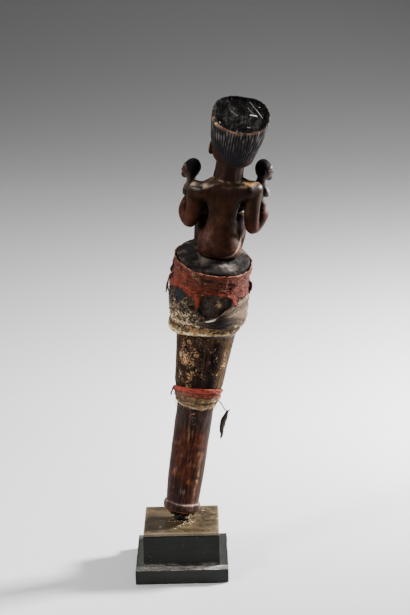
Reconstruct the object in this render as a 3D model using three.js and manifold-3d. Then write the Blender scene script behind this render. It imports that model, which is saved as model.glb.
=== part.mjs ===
// Carved wooden dance wand with a seated mother and two children, standing on its stand.
// Millimetres, +Z up. The origin is the middle of the plinth's underside, +Y is the way the
// mother faces and +X is her right. The wand is first built straight, its height running
// along Z from the foot of the terminal ring, and then bent, leaned and set over its rod.
import * as THREE from 'three';
import { mergeVertices } from 'three/addons/utils/BufferGeometryUtils.js';
import Module from 'manifold-3d';

const wasm = await Module();
wasm.setup();

const rad = THREE.MathUtils.degToRad;
const at = (x, y, z) => new THREE.Vector3(x, y, z);

// Fit between touching pieces
const GAP = 0.3;

// Stand
const PLINTH_SIDE = 100;
const PLINTH_HEIGHT = 16;
const BLOCK_SIDE = 82;
const BLOCK_HEIGHT = 33.6;
const BLOCK_BACK = 1.4;
const SLAB_SIDE = 81.4;
const SLAB_THICK = 3;
const SLAB_ROUND = 1.2;
const SLAB_TOP = PLINTH_HEIGHT + BLOCK_HEIGHT + SLAB_THICK + 2 * GAP;
const ROD_RADIUS = 7.2;
const ROD_IN_BLOCK = 24;
const ROD_IN_WAND = 26;
const ROD_SHOWS = 13;

// Lean and bend of the wand
const LEAN = rad(9.1);
const LOW_PITCH = rad(-6);
const HIGH_PITCH = rad(9);
const BEND_START = 60;
const BEND_END = 270;

// Handle, cone and drum, as height and radius along the straight wand
const RING_HEIGHT = 10;
const RING_RADIUS = 19.8;
const GRIP = [[10, 17.6], [22, 18.3], [46, 19.3], [112, 19.8]];
const CONE = [[112, 19.8], [122, 20.4], [137, 24.3], [144, 26.3], [168, 28.3], [207, 32.2]];
const DRUM = [[206, 32.1], [214, 34.3], [226, 36.9], [240, 37.5], [258, 37.5], [278, 37.5]];
const DRUM_SHIFT = -3.5;
const SHIFT_FROM = 206;
const SHIFT_TO = 240;
const PLATFORM_AT = 287;
const PLATFORM_RADIUS = 38.8;
const PLATFORM_EDGE = 9;
const PLATFORM_DOME = 5;
const PLATFORM_TILT = rad(9);
const TURNS = 28;

// Cloth round the drum and round the foot of the cone
const HEM_FOOT = 207.5;
const HEM_SWELL = 1.3;
const HEM_HEIGHT = 11;
const WRAP_TOP = 266;
const WRAP = [[202, 36.6], [216, 38], [224, 40.3], [236, 41.4], [246, 41.3], [256, 39.9], [266, 39.2]];
const WRAP_EASE = 0.6;
const WRAP_ROWS = [0, 0.08, 0.16, 0.25, 0.42, 0.49, 0.77, 0.85, 1];
const RED_FOOT = 255;
const RED_TOP = 286;
const RED_THICK = 1.3;
const SASH_THICK = 1;
const LOWER_BROWN = [115.5, 126];
const LOWER_RED = [126.4, 139.2];
const LOWER_THICK = 1.6;
const THREAD_RADIUS = 0.5;

// Figure, with heights above the seat
const SEAT = 291;
const HAIR_RADIUS = 30.6;
const HAIR_HEIGHT = 48.8;
const HAIR_GROOVES = 22;
const HEAD_AT = at(1, -1, SEAT + 104);
const HEAD_ROLL = rad(2);
const HEAD_BACK = rad(10);
const CROWN_SLOPE = rad(12);
const CROWN_SIDE = rad(2.5);
const LIMB_SIDES = 10;
const CHILD_SIDES = 6;

const WOOD = { color: 0x3a2018, roughness: 0.38, metalness: 0 };
const HIDE = { color: 0x4a4038, roughness: 0.95, metalness: 0 };
const RED = { color: 0x7f3b2c, roughness: 0.9, metalness: 0 };
const BROWN = { color: 0x6c5a4c, roughness: 0.92, metalness: 0 };
const LOWER = { color: 0x5a4538, roughness: 0.93, metalness: 0 };
const THREAD = { color: 0x2a1d16, roughness: 0.9, metalness: 0 };
const POD = { color: 0x2c1a12, roughness: 0.6, metalness: 0 };
const STEEL = { color: 0x5c5c5e, roughness: 0.35, metalness: 1 };
const SLAB = { color: 0x76654c, roughness: 0.45, metalness: 0.8 };
const BLACK = { color: 0x242423, roughness: 0.5, metalness: 0 };

// Geometry helpers

function reshape(geometry, move) {
  const place = geometry.attributes.position;
  const point = new THREE.Vector3();
  for (let i = 0; i < place.count; i += 1) {
    move(point.fromBufferAttribute(place, i));
    place.setXYZ(i, point.x, point.y, point.z);
  }
  return geometry;
}

function solid(geometry) {
  const bare = new THREE.BufferGeometry();
  bare.setAttribute('position', geometry.attributes.position.clone());
  if (geometry.index) bare.setIndex(geometry.index.clone());
  const merged = mergeVertices(bare, 1e-4);
  const corners = merged.index.array;
  const kept = [];
  for (let i = 0; i < corners.length; i += 3) {
    const [a, b, c] = corners.slice(i, i + 3);
    if (a !== b && b !== c && c !== a) kept.push(a, b, c);
  }
  const vertProperties = new Float32Array(merged.attributes.position.array);
  return new wasm.Manifold(new wasm.Mesh({ numProp: 3, vertProperties, triVerts: new Uint32Array(kept) }));
}

const joined = (pieces) => pieces.reduce((whole, piece) => whole.add(piece));

function geometryOf(body) {
  const { vertProperties, triVerts } = body.getMesh();
  const geometry = new THREE.BufferGeometry();
  geometry.setAttribute('position', new THREE.BufferAttribute(new Float32Array(vertProperties), 3));
  geometry.setIndex(new THREE.BufferAttribute(new Uint32Array(triVerts), 1));
  return geometry;
}

// A turned form: profile points are [height, radius] from the foot to the top.
function turned(profile, turns = TURNS) {
  const points = profile.map(([height, radius]) => new THREE.Vector2(radius, height));
  return new THREE.LatheGeometry(points, turns).rotateX(Math.PI / 2);
}

// A limb with round ends that runs smoothly through joints given as [place, radius].
function chain(joints, sides = LIMB_SIDES, rowsPerJoint = 2) {
  const path = new THREE.CatmullRomCurve3(joints.map(([place]) => place), false, 'centripetal');
  const spans = joints.length - 1;
  const reach = path.getPoint(1).sub(path.getPoint(0));
  const aside = Math.abs(reach.x) < Math.abs(reach.y) ? at(1, 0, 0) : at(0, 1, 0);
  const rings = [];
  const ring = (share, lift) => {
    const span = Math.min(Math.floor(share * spans), spans - 1);
    const radius = THREE.MathUtils.lerp(joints[span][1], joints[span + 1][1], share * spans - span);
    const along = path.getTangent(share);
    const across = aside.clone().addScaledVector(along, -along.dot(aside)).normalize();
    rings.push({
      centre: path.getPoint(share).addScaledVector(along, radius * Math.sin(lift)),
      radius: radius * Math.cos(lift),
      across,
      beside: along.clone().cross(across),
    });
  };
  const capSteps = Math.max(2, Math.round(sides / 5));
  for (let i = 0; i < capSteps; i += 1) ring(0, (-Math.PI / 2) * (1 - i / capSteps));
  for (let i = 0; i <= spans * rowsPerJoint; i += 1) ring(i / (spans * rowsPerJoint), 0);
  for (let i = 1; i <= capSteps; i += 1) ring(1, (Math.PI / 2) * (i / capSteps));
  const profile = rings.map((row, i) => [i, i === 0 || i === rings.length - 1 ? 0 : 1]);
  return solid(reshape(turned(profile, sides), (point) => {
    const { centre, radius, across, beside } = rings[Math.round(point.z)];
    const [x, y] = [point.x * radius, point.y * radius];
    point.copy(centre).addScaledVector(across, x).addScaledVector(beside, y);
  }));
}

const limb = (from, fromRadius, to, toRadius, sides) => chain([[from, fromRadius], [to, toRadius]], sides, 1);

function ball(centre, radii, sides = LIMB_SIDES) {
  const geometry = new THREE.SphereGeometry(1, sides, Math.round(sides * 0.6));
  geometry.rotateX(Math.PI / 2).scale(radii.x, radii.y, radii.z);
  return solid(geometry.translate(centre.x, centre.y, centre.z));
}

// 1 at an angle round the wand, falling to 0 away from it.
function around(angle, middle, width) {
  const off = Math.atan2(Math.sin(angle - middle), Math.cos(angle - middle));
  return Math.exp(-((off / width) ** 2));
}

// Radius of a profile of [height, radius] at a height.
function radiusAt(profile, height) {
  const next = profile.findIndex(([level]) => level >= height);
  if (next <= 0) return next === 0 ? profile[0][1] : profile[profile.length - 1][1];
  const [lowLevel, lowRadius] = profile[next - 1];
  const [highLevel, highRadius] = profile[next];
  return lowRadius + ((highRadius - lowRadius) * (height - lowLevel)) / (highLevel - lowLevel);
}

// The drum stands a little to the left of the cone that carries it.
const shiftAt = (height) => DRUM_SHIFT
  * THREE.MathUtils.clamp((height - SHIFT_FROM) / (SHIFT_TO - SHIFT_FROM), 0, 1);

const evenRows = (count) => Array.from({ length: count + 1 }, (none, i) => i / count);

// A strip that goes round the wand, between two edges and two skins, with rows at shares of its width.
function strip({ rows, low, high, inner, outer, shift = shiftAt }) {
  const back = [...rows].reverse();
  const profile = [...rows.map((share) => [share, 2]), ...back.map((share) => [share, 1]), [0, 2]];
  return reshape(turned(profile), (point) => {
    const angle = Math.atan2(point.y, point.x);
    const height = THREE.MathUtils.lerp(low(angle), high(angle), point.z);
    const skin = Math.hypot(point.x, point.y) > 1.5 ? outer : inner;
    const radius = skin(angle, height);
    point.set(shift(height) + radius * Math.cos(angle), radius * Math.sin(angle), height);
  });
}

// From the straight wand to its place over the rod.
function bent(geometry) {
  const arc = (BEND_END - BEND_START) / (HIGH_PITCH - LOW_PITCH);
  return reshape(geometry, (point) => {
    const turn = THREE.MathUtils.clamp(point.z - BEND_START, 0, BEND_END - BEND_START) / arc;
    const pitch = LOW_PITCH + turn;
    const before = Math.min(point.z, BEND_START);
    const after = Math.max(point.z - BEND_END, 0);
    const forward = arc * (Math.cos(pitch) - Math.cos(LOW_PITCH))
      - before * Math.sin(LOW_PITCH) - after * Math.sin(pitch) + point.y * Math.cos(pitch);
    const up = arc * (Math.sin(pitch) - Math.sin(LOW_PITCH))
      + before * Math.cos(LOW_PITCH) + after * Math.cos(pitch) + point.y * Math.sin(pitch);
    point.set(
      point.x * Math.cos(LEAN) + up * Math.sin(LEAN),
      forward,
      SLAB_TOP + ROD_SHOWS + up * Math.cos(LEAN) - point.x * Math.sin(LEAN),
    );
  });
}

// Wand: ring, grip, cone, drum and platform

function shaft() {
  const ring = [[0, 0], [0, 18.4], [1.8, RING_RADIUS], [8.2, RING_RADIUS], [RING_HEIGHT - 0.4, 19]];
  const [top] = CONE[CONE.length - 1];
  return solid(turned([...ring, ...GRIP, ...CONE.slice(1), [top, 0]]));
}

function drum() {
  const [foot] = DRUM[0];
  const [top] = DRUM[DRUM.length - 1];
  return solid(reshape(turned([[foot, 0], ...DRUM, [top, 0]]), (point) => {
    point.x += shiftAt(point.z);
  }));
}

function platform() {
  const dome = (share) => PLATFORM_DOME * (1 - share * share);
  const profile = [[-PLATFORM_EDGE, 0], [-PLATFORM_EDGE, 37], [-PLATFORM_EDGE + 2, PLATFORM_RADIUS]];
  profile.push([-1.4, PLATFORM_RADIUS]);
  for (const share of [0.965, 0.7, 0.35]) profile.push([dome(share), PLATFORM_RADIUS * share]);
  profile.push([PLATFORM_DOME, 0]);
  const disc = turned(profile).rotateX(PLATFORM_TILT);
  return solid(disc.translate(DRUM_SHIFT, 0, PLATFORM_AT));
}

// Figure: heights are above the seat, and side is -1 on the left and 1 on the right

const up = (x, y, z) => at(x, y, SEAT + z);

const MOTHER_ARMS = {
  '-1': [[up(-32, 0, 65.5), 9.6], [up(-30.5, -1, 48), 8.8], [up(-33.5, 3, 30.5), 7.4],
    [up(-40, 12, 36), 6.4], [up(-38.8, 19, 46), 5.2], [up(-34, 23, 51), 4.6]],
  1: [[up(27.5, 0, 73), 9.6], [up(28.3, -1, 54), 8.4], [up(32.5, 3, 31.8), 7.2],
    [up(41, 12, 43), 6.4], [up(39.3, 19, 51), 5.2], [up(34.5, 23, 56), 4.6]],
};
const CHILD_HIP = { '-1': up(-33.5, 17, 57), 1: up(33.5, 17, 62) };
const CHILD_HEAD = { '-1': up(-39.1, 10, 84.8), 1: up(35.5, 10, 93.8) };
const CHILD_SHOULDER = { '-1': up(-40.5, 12, 63.5), 1: up(37.2, 12, 73) };
const CHILD_ELBOW = { '-1': up(-41.3, 13, 56.5), 1: up(42.4, 13, 66.5) };

// Levels of the body: height, half width, half depth, and the middle's place across and forward.
const BODY = [
  [-2, 17, 14, 0.6, -2], [3, 20.6, 17.4, 0.6, -2.6], [10, 22, 18.2, 0.8, -2.6], [18, 20.6, 16.4, 0.4, -1.6],
  [27, 17.4, 14.2, -0.6, 0], [38, 15.2, 12.6, -1.6, 1], [46, 16.2, 12.2, -1, 1], [52, 19, 12.3, -0.6, 0.6],
  [58, 25, 12.3, -1.4, 0], [65, 29, 11.6, -2, -0.6], [71, 30.4, 10.6, -2, -0.6], [76, 26.6, 10.6, -1.8, -0.4],
  [80, 20, 12.4, -1.4, 0], [84, 15.6, 14.6, -0.9, 0], [107, 14.9, 14.6, -0.4, -1],
];
const SHOULDER_RISE = 0.15;
const RISE_FROM = 40;
const RISE_FULL = 66;
const NECK_BASE = 82;

function torso() {
  const profile = BODY.map((level, i) => [i, 1]);
  const form = turned([[0, 0], ...profile, [BODY.length - 1, 0]], 16);
  reshape(form, (point) => {
    const [height, wide, deep, x, y] = BODY[Math.round(point.z)];
    const across = point.x * wide;
    const share = height < NECK_BASE ? THREE.MathUtils.smoothstep(height, RISE_FROM, RISE_FULL) : 0;
    point.set(x + across, y + point.y * deep, SEAT + height + share * SHOULDER_RISE * across);
  });
  return joined([
    solid(form),
    ball(up(-1, 7, 34), at(13.5, 12, 14), 10),
    ball(up(-9.5, 12.5, 56), at(6.2, 8, 6.8), 8),
    ball(up(7.5, 12.5, 57), at(6.2, 8, 6.8), 8),
  ]);
}

function leg(side) {
  const knee = up(side * 19.5, 21, 32);
  return joined([
    limb(up(side * 10, 3, 12), 11.5, knee, 8.2),
    limb(knee, 7.6, up(side * 20.6, 15, 5), 5.6),
    ball(up(side * 20.6 - 0.5, 21, 1), at(5.6, 9.5, 4.2), 7),
  ]);
}

function child(side) {
  const hip = CHILD_HIP[side];
  const head = CHILD_HEAD[side];
  const shoulder = CHILD_SHOULDER[side];
  const elbow = CHILD_ELBOW[side];
  const chest = at(shoulder.x - side * 4, shoulder.y + 0.5, shoulder.z);
  const knee = hip.clone().add(at(side * 3, 13, 3));
  const foot = knee.clone().add(at(0, 2, -11));
  const inner = knee.clone().add(at(-side * 8, 0, -1));
  const hand = at(shoulder.x - side * 3.5, shoulder.y + 9, elbow.z);
  return joined([
    chain([[hip, 7], [chest, 6.2], [chest.clone().lerp(head, 0.5), 4.8], [head, 4.6]], CHILD_SIDES, 1),
    chain([[shoulder, 4], [elbow, 3.4], [hand, 2.8]], CHILD_SIDES, 1),
    chain([[hip, 5], [knee, 3.8], [foot, 3]], CHILD_SIDES, 1),
    limb(hip, 5, inner, 3.8, CHILD_SIDES),
    ball(head, at(9.2, 9.5, 10.5), 9),
    ball(head.clone().add(at(side * 1.6, 0, -3.2)), at(8.3, 6.6, 6.6), 6),
    limb(head.clone().add(at(side * 7, 0, 2)), 1.4, head.clone().add(at(side * 8.4, 0, -2.4)), 1.7, 5),
  ]);
}

// Head in its own frame: the nape at zero, the crown at the hair's height.
function headPlaced(geometry) {
  const turn = new THREE.Euler(HEAD_BACK, HEAD_ROLL, 0, 'YXZ');
  geometry.applyQuaternion(new THREE.Quaternion().setFromEuler(turn));
  return geometry.translate(HEAD_AT.x, HEAD_AT.y, HEAD_AT.z);
}

function hair() {
  const rise = [[-3, 0], [-3, 15], [1, 20.4], [11, 22.9], [24, 26.6], [36, 29.2]];
  const profile = [...rise, [HAIR_HEIGHT - 1.6, HAIR_RADIUS], [HAIR_HEIGHT, HAIR_RADIUS - 0.8]];
  profile.push([HAIR_HEIGHT - 1.2, HAIR_RADIUS - 3.4], [HAIR_HEIGHT - 1.8, 0]);
  const geometry = turned(profile, 2 * HAIR_GROOVES);
  return reshape(geometry, (point) => {
    const angle = Math.atan2(point.y, point.x);
    const share = THREE.MathUtils.clamp(point.z / HAIR_HEIGHT, 0, 1);
    const side = Math.hypot(point.x, point.y) > 16 && share > 0.2 && share < 0.95;
    const groove = side && Math.round((angle * HAIR_GROOVES) / Math.PI) % 2 === 0 ? 0.7 : 0;
    const scale = 1 - groove / HAIR_RADIUS;
    const slope = point.y * Math.tan(CROWN_SLOPE) + point.x * Math.tan(CROWN_SIDE);
    point.set(point.x * scale, point.y * scale, point.z + share * slope);
  });
}

function face() {
  const skull = new THREE.SphereGeometry(1, 12, 8).rotateX(Math.PI / 2).scale(17.5, 17.5, 22);
  skull.translate(0, 8.5, 6);
  const pieces = [solid(headPlaced(skull)), solid(headPlaced(hair()))];
  const own = (centre, radii, sides) => {
    const form = new THREE.SphereGeometry(1, sides, Math.round(sides * 0.6));
    form.rotateX(Math.PI / 2).scale(...radii).translate(...centre);
    pieces.push(solid(headPlaced(form)));
  };
  own([0, 25.5, 4], [2.6, 3.2, 7.5], 6);
  own([0, 26, 0.2], [3.9, 3.1, 2.4], 6);
  own([0, 23.6, -5.8], [6, 2.6, 2.4], 6);
  own([0, 20, -12.5], [7.5, 5, 4.5], 6);
  for (const side of [-1, 1]) {
    own([side * 7.4, 22, 8], [4.6, 3, 2.7], 6);
    own([side * 7.2, 21.6, 13], [6, 3, 1.6], 6);
    own([side * 22 - (side + 1) * 1.4, 3 + side * 4, 9.5], [3.6, 4.2, 7], 7);
  }
  return joined(pieces);
}

function carvedWand() {
  const whole = [shaft(), drum(), platform(), torso(), face()];
  for (const side of [-1, 1]) {
    whole.push(chain(MOTHER_ARMS[side]), leg(side), child(side));
  }
  const bore = new THREE.CylinderGeometry(ROD_RADIUS + GAP, ROD_RADIUS + GAP, ROD_IN_WAND + 21, 16);
  bore.rotateX(Math.PI / 2).translate(0, 0, (ROD_IN_WAND + 1) / 2 - 10);
  return joined(whole).subtract(solid(bore));
}

// Cloth: the near side, away from the way she faces, is at -90 degrees

const wrapInner = (angle, height) => radiusAt(DRUM, height) + WRAP_EASE;
const wrapFoot = (angle) => HEM_FOOT + 2 * around(angle, rad(-75), 0.7) - 4 * around(angle, rad(-150), 0.7);

function wrapOuter(angle, height) {
  const hem = HEM_HEIGHT + 4 * around(angle, rad(-150), 0.8) - 3 * around(angle, rad(-30), 0.8);
  const share = (height - wrapFoot(angle)) / hem;
  const roll = HEM_SWELL + 2.6 * around(angle, rad(-172), 0.8);
  const swell = share < 1 ? roll * Math.sin(Math.PI * Math.max(share, 0)) : 0;
  const across = Math.abs((angle - rad(-77)) / rad(25)) ** 4;
  const along = Math.abs((height - 244) / 13) ** 4;
  const torn = 2.2 * Math.exp(-(across + along));
  return radiusAt(WRAP, height) + swell - torn;
}

function baseWrap() {
  return strip({ rows: WRAP_ROWS, low: wrapFoot, high: () => WRAP_TOP, inner: wrapInner, outer: wrapOuter });
}

function brownSash() {
  const tuck = (angle) => around(angle, rad(-118), 0.95);
  const inner = (angle, height) => radiusAt(WRAP, height) + 2.5 * GAP;
  return strip({
    rows: evenRows(3),
    low: (angle) => 221 + 3 * tuck(angle),
    high: (angle) => 252 - 26 * tuck(angle),
    inner,
    outer: (angle, height) => inner(angle, height) + SASH_THICK,
  });
}

function redBand() {
  const dip = (angle) => 6.5 * Math.max(0, -Math.sin(angle - rad(12)));
  const over = (angle, height) => {
    const seated = THREE.MathUtils.smoothstep(height, 258, 274);
    const overSash = radiusAt(WRAP, height) + SASH_THICK + 4 * GAP;
    return THREE.MathUtils.lerp(overSash, PLATFORM_RADIUS + 1.4, seated);
  };
  const tails = (angle) => 13 * around(angle, rad(-104), 0.12) + 10 * around(angle, rad(-48), 0.12);
  return strip({
    rows: evenRows(4),
    low: (angle) => RED_FOOT + 1.5 * Math.sin(3 * angle) - tails(angle),
    high: (angle) => RED_TOP - dip(angle),
    inner: over,
    outer: (angle, height) => over(angle, height) + RED_THICK,
  });
}

function lowerBand([low, high], slant, swell) {
  const inner = (angle, height) => radiusAt(CONE, height) + GAP;
  return strip({
    rows: evenRows(2),
    low: (angle) => low + slant[0] * Math.cos(angle),
    high: (angle) => high + slant[1] * Math.cos(angle),
    inner,
    outer: (angle, height) => inner(angle, height) + LOWER_THICK + swell * Math.sin(6 * angle + height / 3),
    shift: () => 0,
  });
}

// The pod hangs from the lower band by a stiff thread.
const POD_STEM = at(34.6, 1, 114.6);
const POD_JOINTS = [
  [at(35.2, 1, 112.6), 1.9], [at(33.6, 1, 107), 2.6], [at(31.8, 1, 101), 2.9],
  [at(31, 1, 94), 2.4], [at(31.4, 1, 88.5), 1.5], [at(32.4, 1, 83.6), 0.6],
];

function podThread() {
  const path = new THREE.CatmullRomCurve3([
    at(25.7, -1, 124.4), at(28.4, -0.4, 121.6), at(31, 0.2, 118.4), at(34, 0.8, 115.6),
  ]);
  const ringShape = new THREE.Shape().absarc(0, 0, THREAD_RADIUS, 0, 2 * Math.PI);
  return new THREE.ExtrudeGeometry(ringShape, {
    extrudePath: path, steps: 5, curveSegments: 3, bevelEnabled: false,
  });
}

function seedPod() {
  const stem = limb(POD_STEM, 0.9, POD_JOINTS[0][0], 1.2, 6);
  return stem.add(chain(POD_JOINTS, 8, 1));
}

// Stand

function slab(side, thick, round) {
  const shape = new THREE.Shape();
  const half = side / 2 - round;
  shape.moveTo(-half, -half);
  shape.lineTo(half, -half);
  shape.lineTo(half, half);
  shape.lineTo(-half, half);
  shape.closePath();
  return new THREE.ExtrudeGeometry(shape, {
    depth: thick - 2 * round, bevelThickness: round, bevelSize: round, bevelSegments: 3,
  }).translate(0, 0, round);
}

function rodGeometry() {
  const bottom = SLAB_TOP - ROD_IN_BLOCK;
  const socket = bent(new THREE.BufferGeometry().setFromPoints([at(0, 0, -1), at(0, 0, ROD_IN_WAND)]));
  const [low, high] = [0, 1].map((i) => new THREE.Vector3().fromBufferAttribute(socket.attributes.position, i));
  const run = high.clone().sub(low).normalize();
  const foot = at(0, 0, SLAB_TOP + 1);
  const path = new THREE.CurvePath();
  path.add(new THREE.LineCurve3(at(0, 0, bottom), foot));
  path.add(new THREE.QuadraticBezierCurve3(foot, low.clone().addScaledVector(run, -6), low));
  path.add(new THREE.LineCurve3(low, high));
  const section = new THREE.Shape().absarc(0, 0, ROD_RADIUS, 0, 2 * Math.PI);
  return new THREE.ExtrudeGeometry(section, {
    extrudePath: path, steps: 9, curveSegments: 6, bevelEnabled: false,
  });
}

function drilled(geometry) {
  const hole = new THREE.CylinderGeometry(ROD_RADIUS + 2 * GAP, ROD_RADIUS + 2 * GAP, ROD_IN_BLOCK + 12, 16);
  hole.rotateX(Math.PI / 2).translate(0, 0, SLAB_TOP + 12 - (ROD_IN_BLOCK + 13) / 2);
  return solid(geometry).subtract(solid(hole));
}

// Scene graph

const group = new THREE.Group();

function add(name, finish, geometry) {
  const mesh = new THREE.Mesh(geometry, new THREE.MeshStandardMaterial(finish));
  mesh.name = name;
  group.add(mesh);
}

const box = (side, height, foot, back = 0) => new THREE.BoxGeometry(side, side, height)
  .translate(0, back, foot + height / 2);

add('carved_wand', WOOD, bent(geometryOf(carvedWand())));
add('base_wrap', HIDE, bent(baseWrap()));
add('brown_sash', BROWN, bent(brownSash()));
add('red_band', RED, bent(redBand()));
add('lower_red_band', RED, bent(lowerBand(LOWER_RED, [2, 3.3], 0.15)));
add('lower_brown_band', LOWER, bent(lowerBand(LOWER_BROWN, [1.5, 2], 0.1)));
add('pod_thread', THREAD, bent(podThread()));
add('seed_pod', POD, bent(geometryOf(seedPod())));
add('steel_rod', STEEL, rodGeometry());
add('cap_slab', SLAB, geometryOf(drilled(slab(SLAB_SIDE, SLAB_THICK, SLAB_ROUND)
  .translate(0, BLOCK_BACK, SLAB_TOP - SLAB_THICK))));
add('stand_block', BLACK, geometryOf(drilled(box(BLOCK_SIDE, BLOCK_HEIGHT, PLINTH_HEIGHT + GAP, BLOCK_BACK))));
add('stand_plinth', BLACK, box(PLINTH_SIDE, PLINTH_HEIGHT, 0));

export default group;
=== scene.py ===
"""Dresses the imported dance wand: the carving, its wrapped cloth, the pod, the stand, lamps and camera.

Sizes are in millimetres until a point is bent to its place, and then in metres. The wand is first
laid out straight: x to the mother's right, y the way she faces, s along the wand from its foot.
"""
import math
from types import SimpleNamespace

import bmesh
import bpy
import numpy as np
from mathutils import Matrix


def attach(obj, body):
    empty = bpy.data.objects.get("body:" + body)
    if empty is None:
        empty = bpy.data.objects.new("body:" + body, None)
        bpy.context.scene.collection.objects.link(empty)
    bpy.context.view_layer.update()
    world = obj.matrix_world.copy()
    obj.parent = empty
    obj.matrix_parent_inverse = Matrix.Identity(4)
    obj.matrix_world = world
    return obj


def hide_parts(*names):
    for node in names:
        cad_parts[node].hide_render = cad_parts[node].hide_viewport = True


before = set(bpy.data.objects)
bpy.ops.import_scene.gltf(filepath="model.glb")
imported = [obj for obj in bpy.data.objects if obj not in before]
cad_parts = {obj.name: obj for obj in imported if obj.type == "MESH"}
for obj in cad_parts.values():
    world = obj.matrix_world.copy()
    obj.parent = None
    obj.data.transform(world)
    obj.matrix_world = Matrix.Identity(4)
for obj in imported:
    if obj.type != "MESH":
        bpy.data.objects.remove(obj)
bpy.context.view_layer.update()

MM = 0.001
RAD = math.pi / 180

# Stand
PLINTH_SIDE = 100.0
PLINTH_HEIGHT = 16.0
BLOCK_SIDE = 82.0
BLOCK_LOW = 16.3
BLOCK_TOP = 49.9
BLOCK_BACK = 1.4
SLAB_SIDE = 81.4
SLAB_LOW = 50.2
SLAB_TOP = 53.2
ROD_RADIUS = 7.2
ROD_SHOWS = 13.0
ROD_IN_WAND = 26.0
ROD_IN_BLOCK = 24.0
ROD_GAP = 0.3

# Lean and bend of the wand
LEAN = 9.1 * RAD
LOW_PITCH = -6 * RAD
HIGH_PITCH = 9 * RAD
BEND_START = 60.0
BEND_END = 270.0

# Handle, cone, drum and platform, as heights and radii
HANDLE_TOP = 118.0
SHAFT = [(0, 18.2), (1.2, 19.5), (2.4, 19.9), (8, 19.8), (9.2, 19.2), (10, 17.7), (22, 18.3), (46, 19.3),
         (112, 19.8), (122, 20.4), (137, 24.3), (144, 26.3), (168, 28.3), (207, 32.2), (209, 32.4)]
DRUM = [(205, 32), (214, 34.3), (226, 36.9), (240, 37.5), (258, 37.5), (279, 37.5)]
DRUM_SHIFT = -3.5
PLATFORM_AT = 287.0
PLATFORM_RADIUS = 38.8
PLATFORM_EDGE = 9.0
PLATFORM_DOME = 5.0
PLATFORM_TILT = 9 * RAD

# Cloth
WRAP = [(202, 36.6), (216, 38), (224, 40.3), (236, 41.4), (246, 41.3), (256, 39.9), (266, 39.2)]
HEM_FOOT = 207.5
HEM_HEIGHT = 11.0
WRAP_TOP = 266.0
RED_TOP = 286.0

# Figure
SEAT = 291.0
SHOULDER_RISE = 0.15
HAIR_RADIUS = 30.6
HAIR_HEIGHT = 48.8
HAIR_GROOVES = 62
HEAD_AT = np.array([1.0, -1.0, SEAT + 104])
HEAD_ROLL = 2 * RAD
HEAD_BACK = 10 * RAD
CROWN_SLOPE = math.tan(12 * RAD)
CROWN_SIDE = math.tan(2.5 * RAD)
LEFT, RIGHT = -1, 1
NAIL = (14.0, -26.0)
# Knocks and scratches of the crown: start, end, half width and strength.
CROWN_MARKS = [
    ((7.5, 26), (15, 14.5), 0.1, 0.5), ((15, 14.5), (22, 2.6), 0.16, 0.7), ((9.6, 3.8), (15.6, 4), 0.9, 0.85),
    ((6.2, 16), (12.5, 6.6), 0.1, 0.25), ((-10, 6), (-3.4, 0), 0.16, 0.22), ((-12, 9.6), (-7, 5), 0.14, 0.12),
    ((17.6, 19), (18.2, 18.6), 0.5, 0.6), ((7.6, -16), (10.4, -16.4), 0.4, 0.35),
    ((-20.6, -13), (-19.6, -14.6), 0.3, 0.7),
]
# Painted highlight along the rim of the right hip, as places across and heights above the seat.
HIP_HIGHLIGHT_LINE = [(24.6, 33), (22.6, 22), (19.6, 12), (14.5, 5.6), (7, 2.6), (-3, 1.6), (-15, 2)]

# Most triangles of the carving, under the library's limit for one piece
MOST_TRIANGLES = 186000


def new_object(name, data, axes=None, place=None):
    """An object in the scene, which may have its own axes and place, as a lamp or a camera does."""
    made = bpy.data.objects.new(name, data)
    bpy.context.scene.collection.objects.link(made)
    if axes:
        turned = Matrix([[*row, 0] for row in np.stack(axes, 1)] + [[0, 0, 0, 1]])
        turned.translation = place
        made.matrix_world = turned
    return made


# Camera

def make_camera():
    yaw, pitch, roll = -0.097 * RAD, 13.668 * RAD, -1.349 * RAD
    ahead = np.array([math.sin(yaw) * math.cos(pitch), math.cos(yaw) * math.cos(pitch), -math.sin(pitch)])
    level = np.array([math.cos(yaw), -math.sin(yaw), 0.0])
    above = np.cross(level, ahead)
    right = level * math.cos(roll) + above * math.sin(roll)
    top = above * math.cos(roll) - level * math.sin(roll)
    data = bpy.data.cameras.new("camera")
    data.sensor_fit = "VERTICAL"
    data.sensor_height = 36
    data.lens = 84.88
    data.clip_end = 20
    bpy.context.scene.camera = new_object("camera", data, (right, top, -ahead), (0.0338, -1.4930, 0.6557))


# Shared maths

def bend(points):
    """Takes straight points in millimetres to their place over the rod, in metres."""
    x, y, s = np.asarray(points, float).T
    arc = (BEND_END - BEND_START) / (HIGH_PITCH - LOW_PITCH)
    pitch = LOW_PITCH + np.clip(s - BEND_START, 0, BEND_END - BEND_START) / arc
    before = np.minimum(s, BEND_START)
    after = np.maximum(s - BEND_END, 0)
    forward = (arc * (np.cos(pitch) - math.cos(LOW_PITCH)) - before * math.sin(LOW_PITCH)
               - after * np.sin(pitch) + y * np.cos(pitch))
    up = (arc * (np.sin(pitch) - math.sin(LOW_PITCH)) + before * math.cos(LOW_PITCH)
          + after * np.cos(pitch) + y * np.sin(pitch))
    high = SLAB_TOP + ROD_SHOWS + up * math.cos(LEAN) - x * math.sin(LEAN)
    return np.stack([x * math.cos(LEAN) + up * math.sin(LEAN), forward, high], 1) * MM


def smooth(value, low, high):
    """0 below low, 1 above high and a soft step between."""
    t = np.clip((value - low) / (high - low), 0, 1)
    return t * t * (3 - 2 * t)


def near(value, middle, width):
    """1 at the middle, falling softly to 0."""
    return np.exp(-((value - middle) / width) ** 2)


def around(angle, middle, width):
    """1 at an angle in degrees round the wand, falling softly to 0 away from it."""
    off = (angle - middle + 180) % 360 - 180
    return np.exp(-(off / width) ** 2)


def profile(table, height):
    levels, radii = zip(*table)
    return np.interp(height, levels, radii)


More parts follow.
